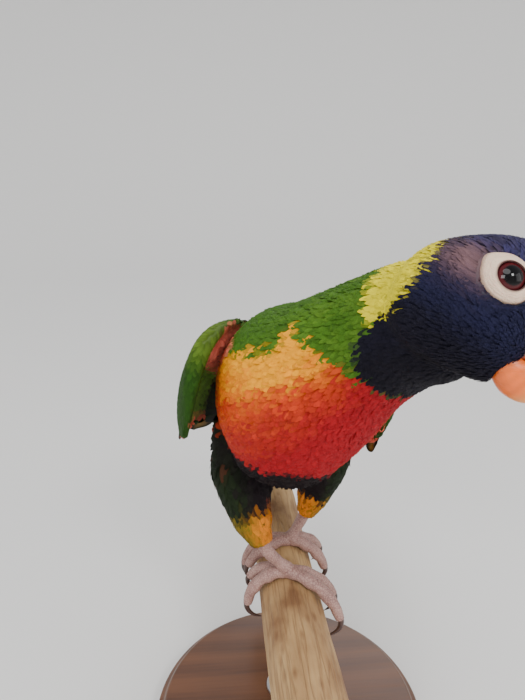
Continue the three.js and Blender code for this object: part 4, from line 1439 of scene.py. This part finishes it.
def branchMesh():
    steps, turns = 240, circle(96)
    rings = []
    for y in np.linspace(branch["near"], branch["far"], steps + 1):
        away = max(0, abs(y - branch["middle"]) - branch["even"])
        knot = branch["knots"] * away * np.sin(3 * turns + y * 0.05)
        knot = knot + branch["waves"] * away * math.sin(y * 0.11)
        radius = foot["perchRadius"] + knot
        end = min(y - branch["near"], branch["far"] - y)
        radius = radius - branch["worn"] * (1 - smooth(0, 1.6, end)) ** 2
        around = np.stack([np.cos(turns) * 2.2, np.sin(turns) * 2.2, turns * 0 + y * 0.035], 1)
        grain = np.array([noise.noise(Vector(p * 3)) for p in around])
        lumps = np.array([noise.noise(Vector((p[0] * 0.5, p[1] * 0.5, y * 0.03 + 9)))
                          for p in around])
        radius = radius - 0.12 + 0.1 * grain + 0.12 * lumps
        rings.append(np.stack([np.sin(turns) * radius, turns * 0 + y,
                               foot["perchAxis"] + np.cos(turns) * radius], 1))
    bm = bmesh.new()
    loft(bm, rings)
    return meshOf(bm)


def makeBranch():
    finish, b = Finish("branchWood"), branch
    grain = finish.noise(900, 6, stretch=(1, 0.06, 1))
    mottle = finish.noise(70, 7, stretch=(1, 0.45, 1))
    spots = finish.cells(240, "F1", stretch=(1, 0.4, 1))
    pores = 1 - (spots * 3.2).math("MINIMUM", 1.0)
    stain = (mottle * 1.25).math("MINIMUM", 1.0) ** 3.0
    colour = finish.mix(grain, b["pale"], b["tan"])
    colour = finish.mix((stain * 1.7).math("MINIMUM", 0.85), colour, b["brown"])
    colour = finish.mix(pores * mottle * 1.3, colour, b["brown"])
    level = finish.noise(330, 3, stretch=(1, 0.05, 1)) - 0.5
    crack = (1 - level.math("ABSOLUTE") * 22).math("MAXIMUM", 0.0)
    colour = finish.mix(crack * 0.4, colour, b["brown"])
    isEnd = (finish.part("Y") - 0.01).math("ABSOLUTE").math("GREATER_THAN", 0.08795)
    x, z = finish.part("X"), finish.part("Z") - 0.064
    radius = (x * x + z * z) ** 0.5
    rings = (radius * 5200 + grain * 3).math("SINE") * 0.5 + 0.5
    colour = finish.mix(isEnd, colour, finish.mix(rings, b["cut"], b["tan"]))
    height = grain * 0.9 + mottle * 0.8 - pores * 0.5 - crack * 0.5
    return finish.surface(Base_Color=colour, Roughness=0.66 + grain * 0.2,
                          bump=(height, 0.7, 0.0006))


pieceOf("branch", branchMesh(), ("perch",), makeBranch())

# Stand: profiles of (radius, height) from the middle outwards, with the radius of their edges
stand = {
    "base": ([(0, 0), (57.2, 0), (58, 0.8), (58, 8.6), (55.6, 9.4), (54.4, 12), (0, 12)], 0.9),
    "rod": ([(0, 12.05), (9, 12.05), (9, 13.6), (5.2, 14.6), (5, 15.6), (5, 53), (0, 53)], 0.5),
    "rodPlace": 6,
    **palette(dark=(70, 40, 24), light=(118, 74, 44)),
}


def makeStandWood():
    finish = Finish("standWood")
    bend = finish.noise(12, 4, stretch=(0.25, 1, 1))
    bands = (finish.part("Y") * 380 + bend * 26).math("SINE") * 0.5 + 0.5
    pores = finish.noise(600, 5, stretch=(0.05, 1, 1))
    colour = finish.mix(bands * 0.35 + pores * 0.6, stand["dark"], stand["light"])
    return finish.surface(Base_Color=colour, Roughness=0.28 + pores * 0.2, Coat_Weight=0.25,
                          Coat_Roughness=0.2, bump=(pores, 0.2, 0.0002))


def makeSteel():
    finish = Finish("standSteel")
    lines = finish.noise(900, 3, stretch=(1, 1, 0.03))
    return finish.surface(Base_Color=finish.grey(0.5 + lines * 0.16), Metallic=1.0,
                          Roughness=0.22 + lines * 0.25)


def turnedPiece(profile, segments, scale=mm):
    # a profile spun round the z axis
    bm = bmesh.new()
    verts = [bm.verts.new((r * scale, 0, z * scale)) for r, z in profile]
    edges = [bm.edges.new(pair) for pair in zip(verts, verts[1:])]
    bmesh.ops.spin(bm, geom=verts + edges, cent=(0, 0, 0), axis=(0, 0, 1),
                   angle=2 * math.pi, steps=segments, use_duplicate=False)
    bmesh.ops.remove_doubles(bm, verts=bm.verts, dist=1e-6)
    return bm


def rounded(corners, size, steps=5):
    # a profile with its inner corners rounded
    line = [corners[0]]
    for before, corner, after in zip(corners, corners[1:], corners[2:]):
        p, a, b = np.array(corner), np.array(before), np.array(after)
        start, stop = (p + unit(q - p) * min(size, np.linalg.norm(q - p) / 2) for q in (a, b))
        for t in np.linspace(0, 1, steps):
            line.append(tuple(start * (1 - t) ** 2 + p * 2 * t * (1 - t) + stop * t * t))
    return line + [corners[-1]]


base = turnedPiece(rounded(*stand["base"]), 160)
pieceOf("standBase", meshOf(base), ("stand_base",), makeStandWood())
rod = turnedPiece(rounded(*stand["rod"]), 72)
bmesh.ops.translate(rod, verts=rod.verts, vec=(0, stand["rodPlace"] * mm, 0))
pieceOf("standRod", meshOf(rod), ("stand_rod",), makeSteel())
print("stand")


# Light, floor and camera
studio = {
    "floor": (0.8, 0.79, 0.77),
    "patches": (0.7, 0.7, 0.7),
    "world": (0.88, 0.89, 0.92),
    "worldStrength": 0.7,
    "suns": [("high", (-0.15, -0.6, 1.1), 35, 1.4), ("back", (0.4, 0.9, 0.8), 40, 0.6)],
    "lights": [("key", (-0.5, -0.8, 0.62), 0.3, 2.8), ("fill", (0.7, -0.5, 0.4), 0.5, 1.4),
               ("front", (0.3, -0.8, 0.72), 0.2, 3.8)],
    "aim": (0, -0.02, 0.15),
}
view = {"place": (-0.0262, -0.1925, 0.216), "aside": 4.4, "down": 13.2, "lens": 27.2}


def setFloor():
    # the floor rises softly into a wall all round
    corner = [(math.sin(t) * 3 + 2.5, 3 - math.cos(t) * 3) for t in np.linspace(0, 1.5, 32)]
    finish = Finish("paleFloor")
    colour = finish.mix(finish.noise(3, 2) * 0.06, studio["floor"], studio["patches"])
    mesh = meshOf(turnedPiece([(0, 0), (2.4, 0)] + corner, 96, 1))
    mesh.flip_normals()
    mesh.shade_smooth()
    mesh.materials.append(finish.surface(Base_Color=colour, Roughness=0.9))
    floor = placed("floor", mesh)


def setLights():
    world = bpy.data.worlds.new("studio")
    world.use_nodes = True
    shade = world.node_tree.nodes["Background"]
    shade.inputs["Color"].default_value = (*studio["world"], 1)
    shade.inputs["Strength"].default_value = studio["worldStrength"]
    bpy.context.scene.world = world
    for kind, lamps in (("SUN", studio["suns"]), ("AREA", studio["lights"])):
        for name, place, size, power in lamps:
            data = bpy.data.lights.new(name, kind)
            data.energy = power
            if kind == "SUN":
                data.angle = math.radians(size)
            else:
                data.size = size
            lamp = placed(name, data)
            lamp.location = place
            way = Vector(studio["aim"]) - Vector(place)
            lamp.rotation_euler = way.to_track_quat("-Z", "Y").to_euler()


def setCamera():
    data = bpy.data.cameras.new("camera")
    data.sensor_fit = "VERTICAL"
    data.sensor_height = 36
    data.lens = view["lens"]
    data.clip_start = 0.01
    camera = placed("camera", data)
    camera.location = view["place"]
    camera.rotation_euler = (math.radians(90 - view["down"]), 0, -math.radians(view["aside"]))
    bpy.context.scene.camera = camera


setFloor()
setLights()
setCamera()
print("studio set")
